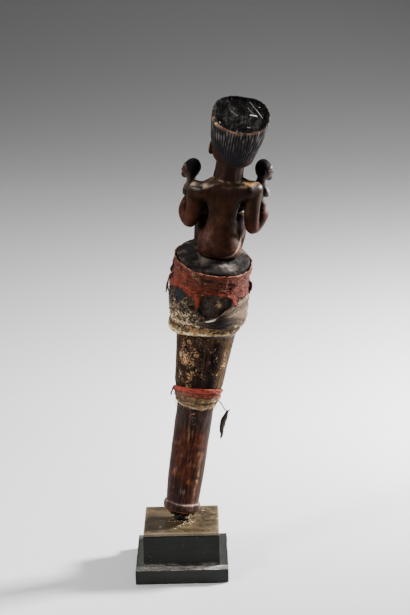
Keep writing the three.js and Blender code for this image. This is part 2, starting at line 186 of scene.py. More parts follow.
def shift_at(height):
    return DRUM_SHIFT * np.clip((height - 206) / 34, 0, 1)


def lumps(points, size, seed):
    """Soft noise from -1 to 1, with lumps of a size in millimetres, one size for each axis or for all."""
    side = 32
    table = np.random.default_rng(seed).uniform(-1, 1, (side, side, side))
    place = np.asarray(points, float) / np.asarray(size, float)
    cell = np.floor(place).astype(int)
    part = place - cell
    part = part * part * (3 - 2 * part)
    total = np.zeros(len(place))
    for corner in np.ndindex(2, 2, 2):
        weight = np.prod(np.where(corner, part, 1 - part), axis=1)
        i, j, k = ((cell + corner) % side).T
        total += weight * table[i, j, k]
    return total


def rough_lumps(points, size, seed):
    """Noise of three sizes, each half the one before and half as strong."""
    return sum(lumps(points, np.asarray(size, float) / 2 ** i, seed + i) / 2 ** i for i in range(3)) * 0.6


def linear(red, green, blue):
    """A colour given as 8-bit screen values, as the light it gives back."""
    c = np.array([red, green, blue]) / 255
    return np.where(c <= 0.04045, c / 12.92, ((c + 0.055) / 1.055) ** 2.4)


class Coats:
    """Colours laid one over another on a piece's points, each given as 8-bit screen values."""

    def __init__(self, points, *colour):
        self.colours = np.tile(linear(*colour), (len(points), 1))
        self.within = 1

    def lay(self, share, *colour):
        """Lays a colour where its share is near 1, and only within the part that is being stained."""
        share = np.clip(share * self.within, 0, 1)[:, None]
        self.colours = self.colours * (1 - share) + linear(*colour) * share


# Meshes

def mesh_object(name, points, faces):
    mesh = bpy.data.meshes.new(name)
    points = np.asarray(points, np.float32)
    faces = np.asarray(faces, np.int32)
    mesh.vertices.add(len(points))
    mesh.vertices.foreach_set("co", points.ravel())
    mesh.loops.add(faces.size)
    mesh.loops.foreach_set("vertex_index", faces.ravel())
    mesh.polygons.add(len(faces))
    mesh.polygons.foreach_set("loop_start", np.arange(len(faces), dtype=np.int32) * faces.shape[1])
    mesh.update(calc_edges=True)
    mesh.validate()
    mesh.shade_smooth()
    return new_object(name, mesh)


def points_of(mesh):
    points = np.empty(len(mesh.vertices) * 3, np.float32)
    mesh.vertices.foreach_get("co", points)
    return points.reshape(-1, 3).astype(float)


def move_points(mesh, points):
    mesh.vertices.foreach_set("co", np.asarray(points, np.float32).ravel())
    mesh.update()


def bend_mesh(mesh):
    move_points(mesh, bend(points_of(mesh)))


def mark(mesh, name, values):
    """Writes one value, or one colour, or one vector for each point."""
    values = np.asarray(values, np.float32)
    if name == "stain":
        layer = mesh.color_attributes.new(name, "FLOAT_COLOR", "POINT")
        layer.data.foreach_set("color", np.column_stack([values, np.ones(len(values))]).ravel())
    elif values.ndim == 2:
        layer = mesh.attributes.new(name, "FLOAT_VECTOR", "POINT")
        layer.data.foreach_set("vector", values.ravel())
    else:
        layer = mesh.attributes.new(name, "FLOAT", "POINT")
        layer.data.foreach_set("value", values)


def apply_modifiers(thing):
    """Turns an object's modifiers into plain mesh."""
    evaluated = thing.evaluated_get(bpy.context.evaluated_depsgraph_get())
    mesh = bpy.data.meshes.new_from_object(evaluated)
    thing.modifiers.clear()
    old = thing.data
    thing.data = mesh
    bpy.data.meshes.remove(old)
    return thing


def ring_faces(rows, columns, closed=True):
    """Faces of a tube of rows, whose columns go round anticlockwise as seen from above."""
    i, j = np.meshgrid(np.arange(rows if closed else rows - 1), np.arange(columns), indexing="ij")
    up, on = (i + 1) % rows, (j + 1) % columns
    quads = np.stack([i * columns + j, i * columns + on, up * columns + on, up * columns + j], -1)
    return quads.reshape(-1, 4)


def finish_piece(thing, node, material):
    """A finished piece takes the place of its node in the frame."""
    thing.data.materials.clear()
    thing.data.materials.append(material)
    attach(thing, "root")
    if node:
        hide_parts(node)
    return thing


# Materials

def feed(tree, socket, value):
    """Gives a socket a plain value, or links it to the socket that feeds it."""
    if isinstance(value, bpy.types.NodeSocket):
        tree.links.new(value, socket)
    else:
        socket.default_value = value


def add_node(tree, kind, values=(), **settings):
    made = tree.nodes.new(kind)
    for key, value in settings.items():
        setattr(made, key, value)
    for place, value in dict(values).items():
        feed(tree, made.inputs[place], value)
    return made


class Finish:
    """One material, and the short words that its nodes are made with."""

    def __init__(self, name, **settings):
        self.material = bpy.data.materials.new(name)
        self.material.use_nodes = True
        self.tree = self.material.node_tree
        self.shader = self.tree.nodes["Principled BSDF"]
        for socket, value in settings.items():
            self.shader.inputs[socket.replace("_", " ")].default_value = value

    def node(self, kind, values=(), output=0, **settings):
        """One output of a new node."""
        return add_node(self.tree, "ShaderNode" + kind, values, **settings).outputs[output]

    def set(self, **values):
        for socket, value in values.items():
            feed(self.tree, self.shader.inputs[socket.replace("_", " ")], value)

    def place(self):
        return self.node("TexCoord", output="Object")

    def marked(self, name, output="Fac"):
        return self.node("Attribute", output=output, attribute_name=name)

    def stretched(self, vector, scale):
        return self.node("Mapping", {0: vector, 3: scale})

    def part(self, vector, axis):
        return self.node("SeparateXYZ", {0: vector}, axis)

    def vector(self, operation, values, output=0):
        return self.node("VectorMath", values, output, operation=operation)

    def noise(self, vector, scale, detail=4, roughness=0.55, distortion=0):
        values = {"Vector": vector, "Scale": scale, "Detail": detail, "Roughness": roughness,
                  "Distortion": distortion}
        return self.node("TexNoise", values)

    def weave(self, vector, direction):
        values = {"Vector": vector, "Scale": 1.1, "Distortion": 1.2, "Detail": 3, "Detail Scale": 2.0}
        return self.node("TexWave", values, "Fac", bands_direction=direction)

    def step(self, value, low, high, start=0.0, end=1.0):
        values = {0: value, 1: low, 2: high, 3: start, 4: end}
        return self.node("MapRange", values, interpolation_type="SMOOTHSTEP")

    def math(self, operation, a, b):
        return self.node("Math", {0: a, 1: b}, operation=operation)

    def times(self, a, b):
        return self.math("MULTIPLY", a, b)

    def plus(self, a, b):
        return self.math("ADD", a, b)

    def most(self, a, b):
        return self.math("MAXIMUM", a, b)

    def mix(self, factor, a, b, blend="MIX"):
        a, b = (v if isinstance(v, bpy.types.NodeSocket) else (*v, 1.0) for v in (a, b))
        return self.node("Mix", {0: factor, 6: a, 7: b}, 2, data_type="RGBA", blend_type=blend)

    def bump(self, height, distance, strength, normal=None):
        values = {"Height": height, "Distance": distance, "Strength": strength}
        if normal:
            values["Normal"] = normal
        return self.node("Bump", values)

    def stroke(self, flat, start, end, width, strength, wobble):
        """A scratch of one strength between two places of a flat map."""
        start, end = (np.array((*p, 0.0)) for p in (start, end))
        run = end - start
        rel = self.vector("SUBTRACT", {0: flat, 1: start})
        along = self.vector("DOT_PRODUCT", {0: rel, 1: run / (run @ run)}, 1)
        foot = self.vector("SCALE", {0: run, 3: self.node("Clamp", {0: along})})
        gap = self.vector("DISTANCE", {0: rel, 1: foot}, 1)
        gap = self.plus(gap, self.times(wobble, 0.3 + 0.5 * width))
        return self.step(gap, width * 0.5, width + 0.3, strength, 0.0)

    def shade(self, colour, factor, amount):
        """Darkens and lightens a colour by a factor round a half."""
        return self.dim(colour, self.step(factor, 0.25, 0.75, 1 - amount, 1 + amount))

    def dim(self, colour, tone):
        """Multiplies a colour by one number."""
        grey = self.node("CombineXYZ", {0: tone, 1: tone, 2: tone})
        return self.mix(1.0, colour, grey, "MULTIPLY")


def carved_finish():
    f = Finish("oiled_carved_wood")
    straight = f.marked("straight", "Vector")
    streaks = f.noise(f.stretched(straight, (1.0, 1.0, 0.06)), 0.8, 5, 0.6)
    fine = f.noise(f.stretched(straight, (1.0, 1.0, 0.3)), 1.7, 5, 0.65)
    cloud = f.noise(straight, 0.09, 4, 0.6)
    matt = f.marked("matt")
    plain = f.shade(f.marked("stain", "Color"), cloud, 0.3)
    grain = f.shade(f.shade(plain, streaks, 0.8), fine, 0.5)
    colour = f.mix(f.marked("grain"), plain, grain)
    clusters = f.noise(straight, 0.11, 3, 0.5)
    spots = f.noise(f.stretched(straight, (1.0, 1.0, 0.75)), 0.72, 8, 0.7, 0.5)
    crust = f.marked("crust")
    level = f.plus(spots, f.times(f.plus(clusters, -0.5), 0.5))
    level = f.plus(level, f.times(crust, 0.13))
    grains = f.times(f.step(level, 0.62, 0.67), f.step(crust, 0.02, 0.2))
    tone = f.noise(straight, 0.9, 3)
    ochre = f.mix(f.step(tone, 0.46, 0.56), linear(168, 108, 56), linear(196, 172, 136))
    colour = f.mix(grains, colour, ochre)
    dust = f.marked("dust")
    drift = f.noise(straight, 0.3, 6, 0.6)
    dusted = f.step(f.plus(dust, f.times(drift, 0.7)), 0.42, 1.5)
    colour = f.mix(dusted, colour, linear(176, 172, 165))
    flat = f.marked("crown", "Vector")
    crown = f.part(flat, 2)
    flat = f.vector("MULTIPLY", {0: flat, 1: (1.0, 1.0, 0.0)})
    wobble = f.times(f.plus(fine, -0.5), 2.4)
    scuffs = f.noise(f.stretched(flat, (1.0, 0.45, 1.0)), 0.16, 8, 0.72, 0.6)
    hairlines = f.noise(f.stretched(flat, (1.5, 0.12, 1.0)), 0.8, 3, 0.6, 1.2)
    marks = f.most(f.step(scuffs, 0.5, 0.8, 0.0, 0.1), f.step(hairlines, 0.62, 0.7, 0.0, 0.16))
    for start, end, width, strength in CROWN_MARKS:
        marks = f.most(marks, f.stroke(flat, start, end, width, strength, wobble))
    broken = f.step(f.noise(flat, 0.9, 4, 0.7), 0.36, 0.5, 0.2, 1.0)
    colour = f.mix(f.times(f.times(marks, broken), crown), colour, linear(196, 190, 182))
    rough = f.step(f.plus(streaks, f.times(dusted, 0.6)), 0.3, 1.1, 0.24, 0.6)
    rough = f.plus(rough, f.times(grains, 0.4))
    rough = f.plus(rough, f.times(matt, 0.35))
    height = f.plus(f.times(streaks, 0.5), f.times(fine, 0.35))
    normal = f.bump(height, 0.0006, 0.4)
    normal = f.bump(grains, 0.0006, 0.8, normal)
    shine = f.step(matt, 0.0, 1.0, 0.2, 0.0)
    f.set(Base_Color=colour, Roughness=rough, Normal=normal, Specular_IOR_Level=shine)
    return f.material


def cloth_finish(name, crusted=False):
    f = Finish(name, Roughness=0.92, Specular_IOR_Level=0.12, Sheen_Weight=0.04, Sheen_Roughness=0.5)
    straight = f.marked("straight", "Vector")
    along = f.marked("cloth", "Vector")
    threads = f.most(f.weave(along, "X"), f.weave(along, "Y"))
    blot = f.noise(straight, 0.16, 6, 0.65)
    fibre = f.noise(f.stretched(straight, (1.0, 1.0, 2.2)), 0.9, 6, 0.7)
    colour = f.marked("stain", "Color")
    for factor, amount in ((blot, 0.35), (fibre, 0.3), (threads, 0.12)):
        colour = f.shade(colour, factor, amount)
    height = f.plus(f.times(threads, 0.35), f.times(fibre, 0.8))
    if crusted:
        crust = f.marked("crust")
        grit = f.noise(straight, 0.27, 8, 0.8, 0.5)
        grit = f.plus(grit, f.times(f.plus(crust, -0.6), 0.1))
        held = f.step(crust, 0.05, 0.3)
        golden = f.times(f.step(f.noise(straight, 0.24, 6, 0.7), 0.48, 0.58), held)
        colour = f.mix(f.times(golden, 0.8), colour, linear(112, 82, 48))
        dark = f.times(f.step(grit, 0.49, 0.44), held)
        colour = f.mix(dark, colour, linear(24, 20, 18))
        pale = f.times(f.step(grit, 0.55, 0.61), held)
        colour = f.mix(pale, colour, linear(212, 192, 156))
        height = f.plus(height, f.times(f.times(grit, held), 4.0))
    f.set(Base_Color=colour, Normal=f.bump(height, 0.0007, 0.7))
    return f.material


def painted_finish(name, tint):
    f = Finish(name, Specular_IOR_Level=0.12)
    place = f.place()
    brushed = f.noise(f.stretched(place, (60.0, 60.0, 900.0)), 1.0, 4)
    cloud = f.noise(place, 45, 5, 0.6)
    colour = f.shade(tint, brushed, 0.18)
    worn = f.marked("worn")
    chips = f.noise(place, 420, 5, 0.65)
    level = f.step(f.plus(worn, f.times(chips, 0.5)), 0.72, 0.98)
    colour = f.mix(level, colour, linear(176, 171, 163))
    grit = f.noise(place, 330, 5, 0.7)
    dust = f.times(f.marked("dust"), f.step(cloud, 0.2, 0.8, 0.6, 1.0))
    dust = f.times(dust, f.step(grit, 0.36, 0.6, 0.35, 1.45))
    specks = f.step(f.noise(place, 700, 2), 0.70, 0.76)
    dust = f.most(dust, f.times(specks, 0.35))
    colour = f.mix(dust, colour, linear(158, 153, 146))
    rough = f.step(f.plus(cloud, dust), 0.3, 1.2, 0.45, 0.85)
    f.set(Base_Color=colour, Roughness=rough, Normal=f.bump(brushed, 0.0002, 0.25))
    return f.material


def slab_finish():
    f = Finish("aged_plate", Specular_IOR_Level=0.45)
    place = f.place()
    drag = f.noise(f.stretched(place, (70.0, 160.0, 160.0)), 1.0, 6, 0.6, 0.3)
    cloud = f.noise(place, 60, 6, 0.62, 0.6)
    colour = f.mix(f.step(cloud, 0.35, 0.66), linear(48, 37, 22), linear(83, 69, 46))
    fine = f.noise(f.stretched(place, (220.0, 900.0, 500.0)), 1.0, 6, 0.7)
    colour = f.shade(f.shade(colour, drag, 0.25), fine, 0.35)
    # Painted shade: the left half of the plate is darker.
    colour = f.mix(f.step(f.part(place, 0), -0.04, 0.0, 0.45, 0.0), colour, linear(44, 35, 26))
    # Painted highlight: a paler band along the front edge.
    front = f.times(f.step(f.part(place, 1), -0.0345, -0.0365), f.step(fine, 0.35, 0.6, 0.3, 0.8))
    colour = f.mix(f.times(front, 0.7), colour, linear(86, 74, 54))
    glints = f.step(f.noise(f.stretched(place, (120.0, 330.0, 330.0)), 1.0, 2), 0.69, 0.74)
    colour = f.mix(f.times(glints, 0.8), colour, linear(222, 210, 186))
    stained = f.step(f.noise(f.stretched(place, (24.0, 60.0, 60.0)), 1.0, 5, 0.7), 0.56, 0.7)
    colour = f.mix(f.times(stained, 0.5), colour, linear(46, 35, 24))
    specks = f.step(f.noise(place, 520, 3), 0.68, 0.74)
    colour = f.mix(f.times(specks, 0.5), colour, linear(188, 176, 150))
    colour = f.mix(f.marked("worn"), colour, linear(172, 156, 124))
    rough = f.step(f.plus(cloud, f.times(drag, 0.4)), 0.3, 1.0, 0.3, 0.5)
    f.set(Base_Color=colour, Roughness=rough, Normal=f.bump(f.plus(drag, cloud), 0.0006, 0.5))
    return f.material


def plain_finish(name, colour, rough, metal=0.0, scale=300.0, amount=0.35, relief=0.0004):
    f = Finish(name, Metallic=metal)
    place = f.place()
    grain = f.noise(f.stretched(place, (scale, scale, scale * 0.25)), 1.0, 5, 0.65)
    f.set(Base_Color=f.shade(colour, grain, amount),
          Roughness=f.step(grain, 0.2, 0.8, rough - 0.08, rough + 0.1),
          Normal=f.bump(grain, relief, 0.6))
    return f.material


# The carving, as forms that are joined and cut

def rounded(first, second, width):
    """The larger of two distances, with the edge between them rounded off."""
    overlap = np.maximum(width - np.abs(first - second), 0) / width
    return np.maximum(first, second) + overlap * overlap * width / 4


class Carving:
    """Soft-joined forms, each with its distance from any point and how far from its middle it counts."""
    FAR = 30.0
    EASE = 3.0

    def __init__(self):
        self.forms = []

    def add(self, distance, centre, reach, blend, cut=False, group="mother"):
        self.forms.append((distance, np.asarray(centre, float), np.asarray(reach, float) + self.EASE + blend,
                           blend, cut, group))

    @staticmethod
    def joined(value, new, blend, cut):
        return rounded(value, -new, blend) if cut else -rounded(-value, -new, blend)

    def on_grid(self, axes):
        field = np.full([len(a) for a in axes], self.FAR, np.float32)
        for distance, centre, reach, blend, cut, _ in self.forms:
            reach = np.broadcast_to(reach, 3)
            window = tuple(slice(*np.searchsorted(a, (c - r, c + r))) for a, c, r in zip(axes, centre, reach))
            x, y, s = (a[w] for a, w in zip(axes, window))
            new = distance(x[:, None, None], y[None, :, None], s[None, None, :])
            field[window] = self.joined(field[window], new, blend, cut)
        return field

    def close_to(self, points):
        """For each form, which of the points it counts for."""
        x, y, s = points.T
        found = []
        for _, centre, reach, _, _, _ in self.forms:
            reach = np.broadcast_to(reach, 3)
            inside = np.abs(s - centre[2]) < reach[2]
            inside &= np.abs(x - centre[0]) < reach[0]
            inside &= np.abs(y - centre[1]) < reach[1]
            found.append(np.nonzero(inside)[0])
        return found

    def at(self, points, close, group=None):
        value = np.full(len(points), self.FAR)
        for (distance, _, _, blend, cut, own), mine in zip(self.forms, close):
            if group and own != group:
                continue
            new = distance(*points[mine].T)
            value[mine] = self.joined(value[mine], new, blend, cut)
        return value


def oval(centre, radii):
    def distance(x, y, s):
        u, v, w = ((p - c) / r for p, c, r in zip((x, y, s), centre, radii))
        size = np.sqrt(u * u + v * v + w * w)
        slope = np.sqrt((u / radii[0]) ** 2 + (v / radii[1]) ** 2 + (w / radii[2]) ** 2)
        return size * (size - 1) / np.maximum(slope, 1e-6)
    return distance


def smooth_path(joints, steps):
    """More joints along one smooth curve through the given ones, each a place and a radius."""
    joints = np.asarray(joints, float)
    padded = np.vstack([2 * joints[0] - joints[1], joints, 2 * joints[-1] - joints[-2]])
    rows = []
    for i in range(len(joints) - 1):
        a, b, c, d = padded[i:i + 4]
        for t in np.arange(steps) / steps:
            rows.append(0.5 * (2 * b + (c - a) * t + (2 * a - 5 * b + 4 * c - d) * t ** 2
                               + (3 * b - a - 3 * c + d) * t ** 3))
    rows.append(joints[-1])
    return np.array(rows)


def rope(joints):
    """A round limb through joints, each a place and a radius."""
    def distance(x, y, s):
        best = None
        for start, end in zip(joints[:-1], joints[1:]):
            run = end[:3] - start[:3]
            length = max(float(run @ run), 1e-9)
            dx, dy, ds = x - start[0], y - start[1], s - start[2]
            share = np.clip((dx * run[0] + dy * run[1] + ds * run[2]) / length, 0, 1)
            gap = np.sqrt((dx - share * run[0]) ** 2 + (dy - share * run[1]) ** 2
                          + (ds - share * run[2]) ** 2)
            gap = gap - (start[3] + share * (end[3] - start[3]))
            best = gap if best is None else np.minimum(best, gap)
        return best
    return distance


ROLL_TURN = np.array([[math.cos(HEAD_ROLL), 0, math.sin(HEAD_ROLL)], [0, 1, 0],
                      [-math.sin(HEAD_ROLL), 0, math.cos(HEAD_ROLL)]])
BACK_TURN = np.array([[1, 0, 0], [0, math.cos(HEAD_BACK), -math.sin(HEAD_BACK)],
                      [0, math.sin(HEAD_BACK), math.cos(HEAD_BACK)]])
HEAD_TURN = ROLL_TURN @ BACK_TURN


def in_head(distance):
    """A form given in the head's own frame, with the nape at zero."""
    def turned(x, y, s):
        place = [x - HEAD_AT[0], y - HEAD_AT[1], s - HEAD_AT[2]]
        own = [sum(place[i] * HEAD_TURN[i, k] for i in range(3)) for k in range(3)]
        return distance(*own)
    return turned


def head_to_wand(point):
    return HEAD_TURN @ np.asarray(point, float) + HEAD_AT


carving = Carving()


def lump(centre, radii, blend, group="mother"):
    carving.add(oval(centre, radii), centre, max(radii), blend, group=group)


def limb(joints, blend, group="mother", steps=6):
    joints = smooth_path(joints, steps)
    low = (joints[:, :3] - joints[:, 3:]).min(0)
    high = (joints[:, :3] + joints[:, 3:]).max(0)
    carving.add(rope(joints), (low + high) / 2, (high - low) / 2, blend, group=group)


def head_lump(centre, radii, blend, cut=False):
    carving.add(in_head(oval(centre, radii)), head_to_wand(centre), max(radii), blend, cut)


def head_limb(joints, blend, cut=False):
    joints = smooth_path(joints, 4)
    middle = joints[:, :3].mean(0)
    reach = np.linalg.norm(joints[:, :3] - middle, axis=1).max() + joints[:, 3].max()
    carving.add(in_head(rope(joints)), head_to_wand(middle), reach, blend, cut)


# Levels of the body: height, half width, half depth, and the middle's place across and forward.
BODY = np.array([
    [-2, 16.5, 14, 0.6, -2], [3, 20.6, 17.4, 0.6, -2.6], [10, 22, 18.2, 0.8, -2.6], [18, 20, 17.2, 0.4, -1.8],
    [27, 16.4, 15.4, -0.4, -1], [38, 14.4, 14.4, -0.8, -0.6], [48, 14.8, 13.8, -0.8, -0.4],
    [56, 17.6, 13.6, -1.4, -0.4], [61, 21, 13.6, -1.6, -0.5], [65.5, 26, 13.6, -2, -0.8],
    [70, 30, 13.6, -2, -1], [75.5, 28.4, 13.8, -1.8, -1.2], [79, 22, 14.4, -1.4, -0.8],
    [82, 16.6, 14.2, -1, -0.4], [84, 13, 9, -0.9, 0],
])


def soft_levels(table):
    """The levels, filled in between and eased where they turn."""
    window = 9
    heights = np.linspace(table[0, 0], table[-1, 0], 220)
    kernel = np.hanning(window + 2)[1:-1]
    kernel /= kernel.sum()
    columns = [heights]
    for column in table.T[1:]:
        values = np.pad(np.interp(heights, table[:, 0], column), window // 2, mode="edge")
        columns.append(np.convolve(values, kernel, "valid"))
    return columns


BODY_LEVELS = soft_levels(BODY)


def body_distance(x, y, s):
    height = s - SEAT
    rise = SHOULDER_RISE * smooth(height, 40, 66) * (1 - smooth(height, 82, 90))
    height = height - rise * x
    heights = BODY_LEVELS[0]
    wide, deep, across, forward = (np.interp(height, heights, column) for column in BODY_LEVELS[1:])
    u, v = np.abs(x - across) / wide, np.abs(y - forward) / deep
    power = 2.6
    size = (u ** power + v ** power) ** (1 / power)
    side = (size - 1) * np.minimum(wide, deep) * 0.95
    ends = np.maximum(heights[0] - height, height - heights[-1])
    return np.maximum(side, ends)


def neck_distance(x, y, s):
    height = s - SEAT
    across, forward = -0.8 + 0.4 * (height - 70) / 37, -(height - 70) / 37
    dx, dy = x - across, y - forward
    angle = np.arctan2(dy, dx)
    facets = 0.34 * np.abs(np.cos(5.5 * angle + 0.6)) - 0.1
    flare = 0.9 * (1 - smooth(height, 82, 92))
    radius = 14.7 - 0.2 * (height - 70) / 37 + facets + flare
    return np.maximum(np.hypot(dx, dy) - radius, np.maximum(76 - height, height - 110))


def hair_radius(height):
    levels = [(-3, 15), (-1, 18.6), (1, 20.4), (11, 22.9), (24, 26.6), (36, 29.2), (44, 30.4), (48, 30.6),
              (52, 30.6)]
    return profile(levels, height)


def hair_levels(x, y, z):
    """Height up the hair at a point of the head's frame, once the crown's slope is taken out."""
    slope = y * CROWN_SLOPE + x * CROWN_SIDE
    return z / (1 + slope / HAIR_HEIGHT)


def hair_swell(angle, height):
    """How far the hair stands out past a round crown."""
    turn = np.degrees(angle)
    wide = 2.6 * around(turn, 124, 26) + 2.8 * around(turn, 55, 24)
    narrow = 1.6 * around(turn, 182, 24) + 1.2 * around(turn, -8, 28)
    return smooth(height, 18, 46) * (wide - narrow)


def hair_groove(angle, height):
    """0 in a groove of the combed hair and 1 on the strand beside it."""
    wander = 0.5 * np.sin(3 * angle + height / 9) + 0.35 * np.sin(7 * angle - height / 6)
    return np.abs(np.sin(HAIR_GROOVES / 2 * angle + wander)) ** 0.7


def hair_distance(x, y, z):
    height = hair_levels(x, y, z)
    out = np.hypot(x, y)
    angle = np.arctan2(y, x)
    groove = hair_groove(angle, height)
    depth = 0.8 * smooth(height, 6, 17) * (1 - 0.8 * smooth(height, 43.5, 47))
    crown = hair_swell(angle, height)
    side = (out - hair_radius(height) - crown - 0.25 + depth * (1 - groove)) * 0.96
    dish = 1.5 * (1 - smooth(out - crown, HAIR_RADIUS - 4.4, HAIR_RADIUS - 1))
    dish = dish + 0.35 * np.sin(0.31 * x + 1.2) * np.sin(0.27 * y + 0.5)
    top = height - (HAIR_HEIGHT - dish)
    return np.maximum(rounded(side, top, 1.3), -3 - height)


def shaft_distance(x, y, s):
    angle = np.arctan2(y, x)
    radius = profile(SHAFT, s)
    grip = smooth(s, 12, 20) * (1 - smooth(s, 125, 150))
    radius = radius + grip * 0.22 * np.abs(np.sin(4.5 * angle + 0.4)) + 0.12 * np.sin(2 * angle + s / 31)
    return np.maximum((np.hypot(x, y) - radius) * 0.98, np.maximum(-s, s - SHAFT[-1][0]))


def drum_distance(x, y, s):
    across = x - shift_at(s)
    return np.maximum(np.hypot(across, y) - profile(DRUM, s), np.maximum(DRUM[0][0] - s, s - DRUM[-1][0]))


def platform_distance(x, y, s):
    dy, dz = y, s - PLATFORM_AT
    forward = dy * math.cos(PLATFORM_TILT) + dz * math.sin(PLATFORM_TILT)
    height = dz * math.cos(PLATFORM_TILT) - dy * math.sin(PLATFORM_TILT)
    out = np.hypot(x - DRUM_SHIFT, forward)
    dome = PLATFORM_DOME * (1 - np.minimum(out / PLATFORM_RADIUS, 1) ** 2)
    top = height - dome
    side = out - PLATFORM_RADIUS
    return np.maximum(rounded(side, top, 2.4), -PLATFORM_EDGE - height)


def socket_distance(x, y, s):
    return np.maximum(np.hypot(x, y) - ROD_RADIUS - ROD_GAP, s - ROD_IN_WAND - 1)


def carve_shaft():
    carving.add(shaft_distance, (0, 0, 104), (34, 34, 106), 0.6, group="shaft")
    carving.add(drum_distance, (DRUM_SHIFT, 0, 242), (40, 40, 38), 0.8, group="drum")
    carving.add(platform_distance, (DRUM_SHIFT, 0, PLATFORM_AT), (40, 40, 17), 0.6, group="platform")
    carve_splinters()


def carve_splinters():
    """The broken foot of the handle: a torn core with splinters."""
    limb([(0, 0, 6, 15), (0, 0, 4, 12.5)], 0.8, group="shaft", steps=2)
    chance = np.random.default_rng(9)
    for i in range(26):
        turn, out = i * 0.2417 + chance.uniform(-0.08, 0.08), chance.uniform(10.5, 17)
        x, y = out * math.cos(turn), out * math.sin(turn)
        drop = chance.uniform(1, 3) + 0.55 * (17 - out)
        limb([(x, y, 2, 2.4), (x * 0.97, y * 0.97, -drop * 0.6, 1.7), (x * 0.92, y * 0.92, -drop, 0.7)], 0.5,
             group="shaft", steps=2)


def carve_body():
    carving.add(body_distance, (0, -1, SEAT + 42), (34, 22, 52), 1.2)
    for side in (LEFT, RIGHT):
        lump((side * 7 + 0.6, -5.2, SEAT + 9), (13.6, 15.2, 12), 8)
        lump((side * 23 - 2, -3.4, SEAT + 69.4 + side * 3.4), (9.5, 9.8, 7.6), 6)
        lump((side * 8.5 - 1, 12.5, SEAT + 56), (6.2, 8, 6.8), 3)
    lump((-1, 7, SEAT + 34), (13.5, 12, 14), 5)
    carving.add(neck_distance, (-0.6, 0, SEAT + 94), (18, 18, 20), 0.6)


MOTHER_ARMS = {
    LEFT: [(-32, 0, 65.5, 9.6), (-30.5, -1, 48, 8.8), (-33.5, 3, 30.5, 7.4), (-40, 12, 36, 6.4),
           (-38.8, 19, 46, 5.2), (-34, 23, 51, 4.6)],
    RIGHT: [(27.5, 0, 73, 9.6), (28.3, -1, 54, 8.4), (32.5, 3, 31.8, 7.2), (41, 12, 43, 6.4),
            (39.3, 19, 51, 5.2), (34.5, 23, 56, 4.6)],
}
CHILD_HIP = {LEFT: (-33.5, 17, 57), RIGHT: (33.5, 17, 62)}
CHILD_HEAD = {LEFT: (-39.1, 10, 84.8), RIGHT: (35.5, 10, 93.8)}
CHILD_SHOULDER = {LEFT: (-40.5, 12, 63.5), RIGHT: (37.2, 12, 73)}
CHILD_ELBOW = {LEFT: (-41.3, 13, 56.5), RIGHT: (42.4, 13, 66.5)}


def raised(joints):
    return [(x, y, SEAT + z, r) for x, y, z, r in joints]


def carve_limbs():
    for side in (LEFT, RIGHT):
        arm = MOTHER_ARMS[side]
        limb(raised(arm), 2.6)
        x, y, z, _ = arm[-1]
        for i in range(4):
            drop = 3.2 * i - 4.6
            limb(raised([(x - side * 0.5, y + 2.4, z + drop + 1, 1.7),
                         (x - side * 3.5, y + 4.2, z + drop + 1.6, 1.6),
                         (x - side * 7, y + 2.2, z + drop + 2, 1.3)]), 0.5)
        limb(raised([(x + side * 2, y - 1, z + 2, 2), (x + side * 1.5, y - 3.4, z + 6.5, 1.7)]), 0.8)
        knee = (side * 19.5, 21, 32)
        limb(raised([(side * 10, 3, 12, 11.5), (side * 15.4, 12.4, 22.6, 10), (*knee, 8.2)]), 3.4)
        limb(raised([(*knee, 7.6), (side * 20.3, 17.6, 18, 7.2), (side * 20.6, 15, 5, 5.4)]), 1.5)
        ankle = side * 20.6 - 0.5
        limb(raised([(ankle, 13, 2.6, 4.8), (ankle, 20, 2, 5.2), (ankle + side * 0.6, 25, 1, 4.4)]), 1.5)
        for i in range(5):
            spread = (i - 2) * 2.1
            length = 31 - 0.7 * abs(i - 1 if side == LEFT else i - 3)
            limb(raised([(ankle + spread, 25.5, 0.6, 1.6), (ankle + spread * 1.15, length, -0.4, 1.35)]), 0.5)


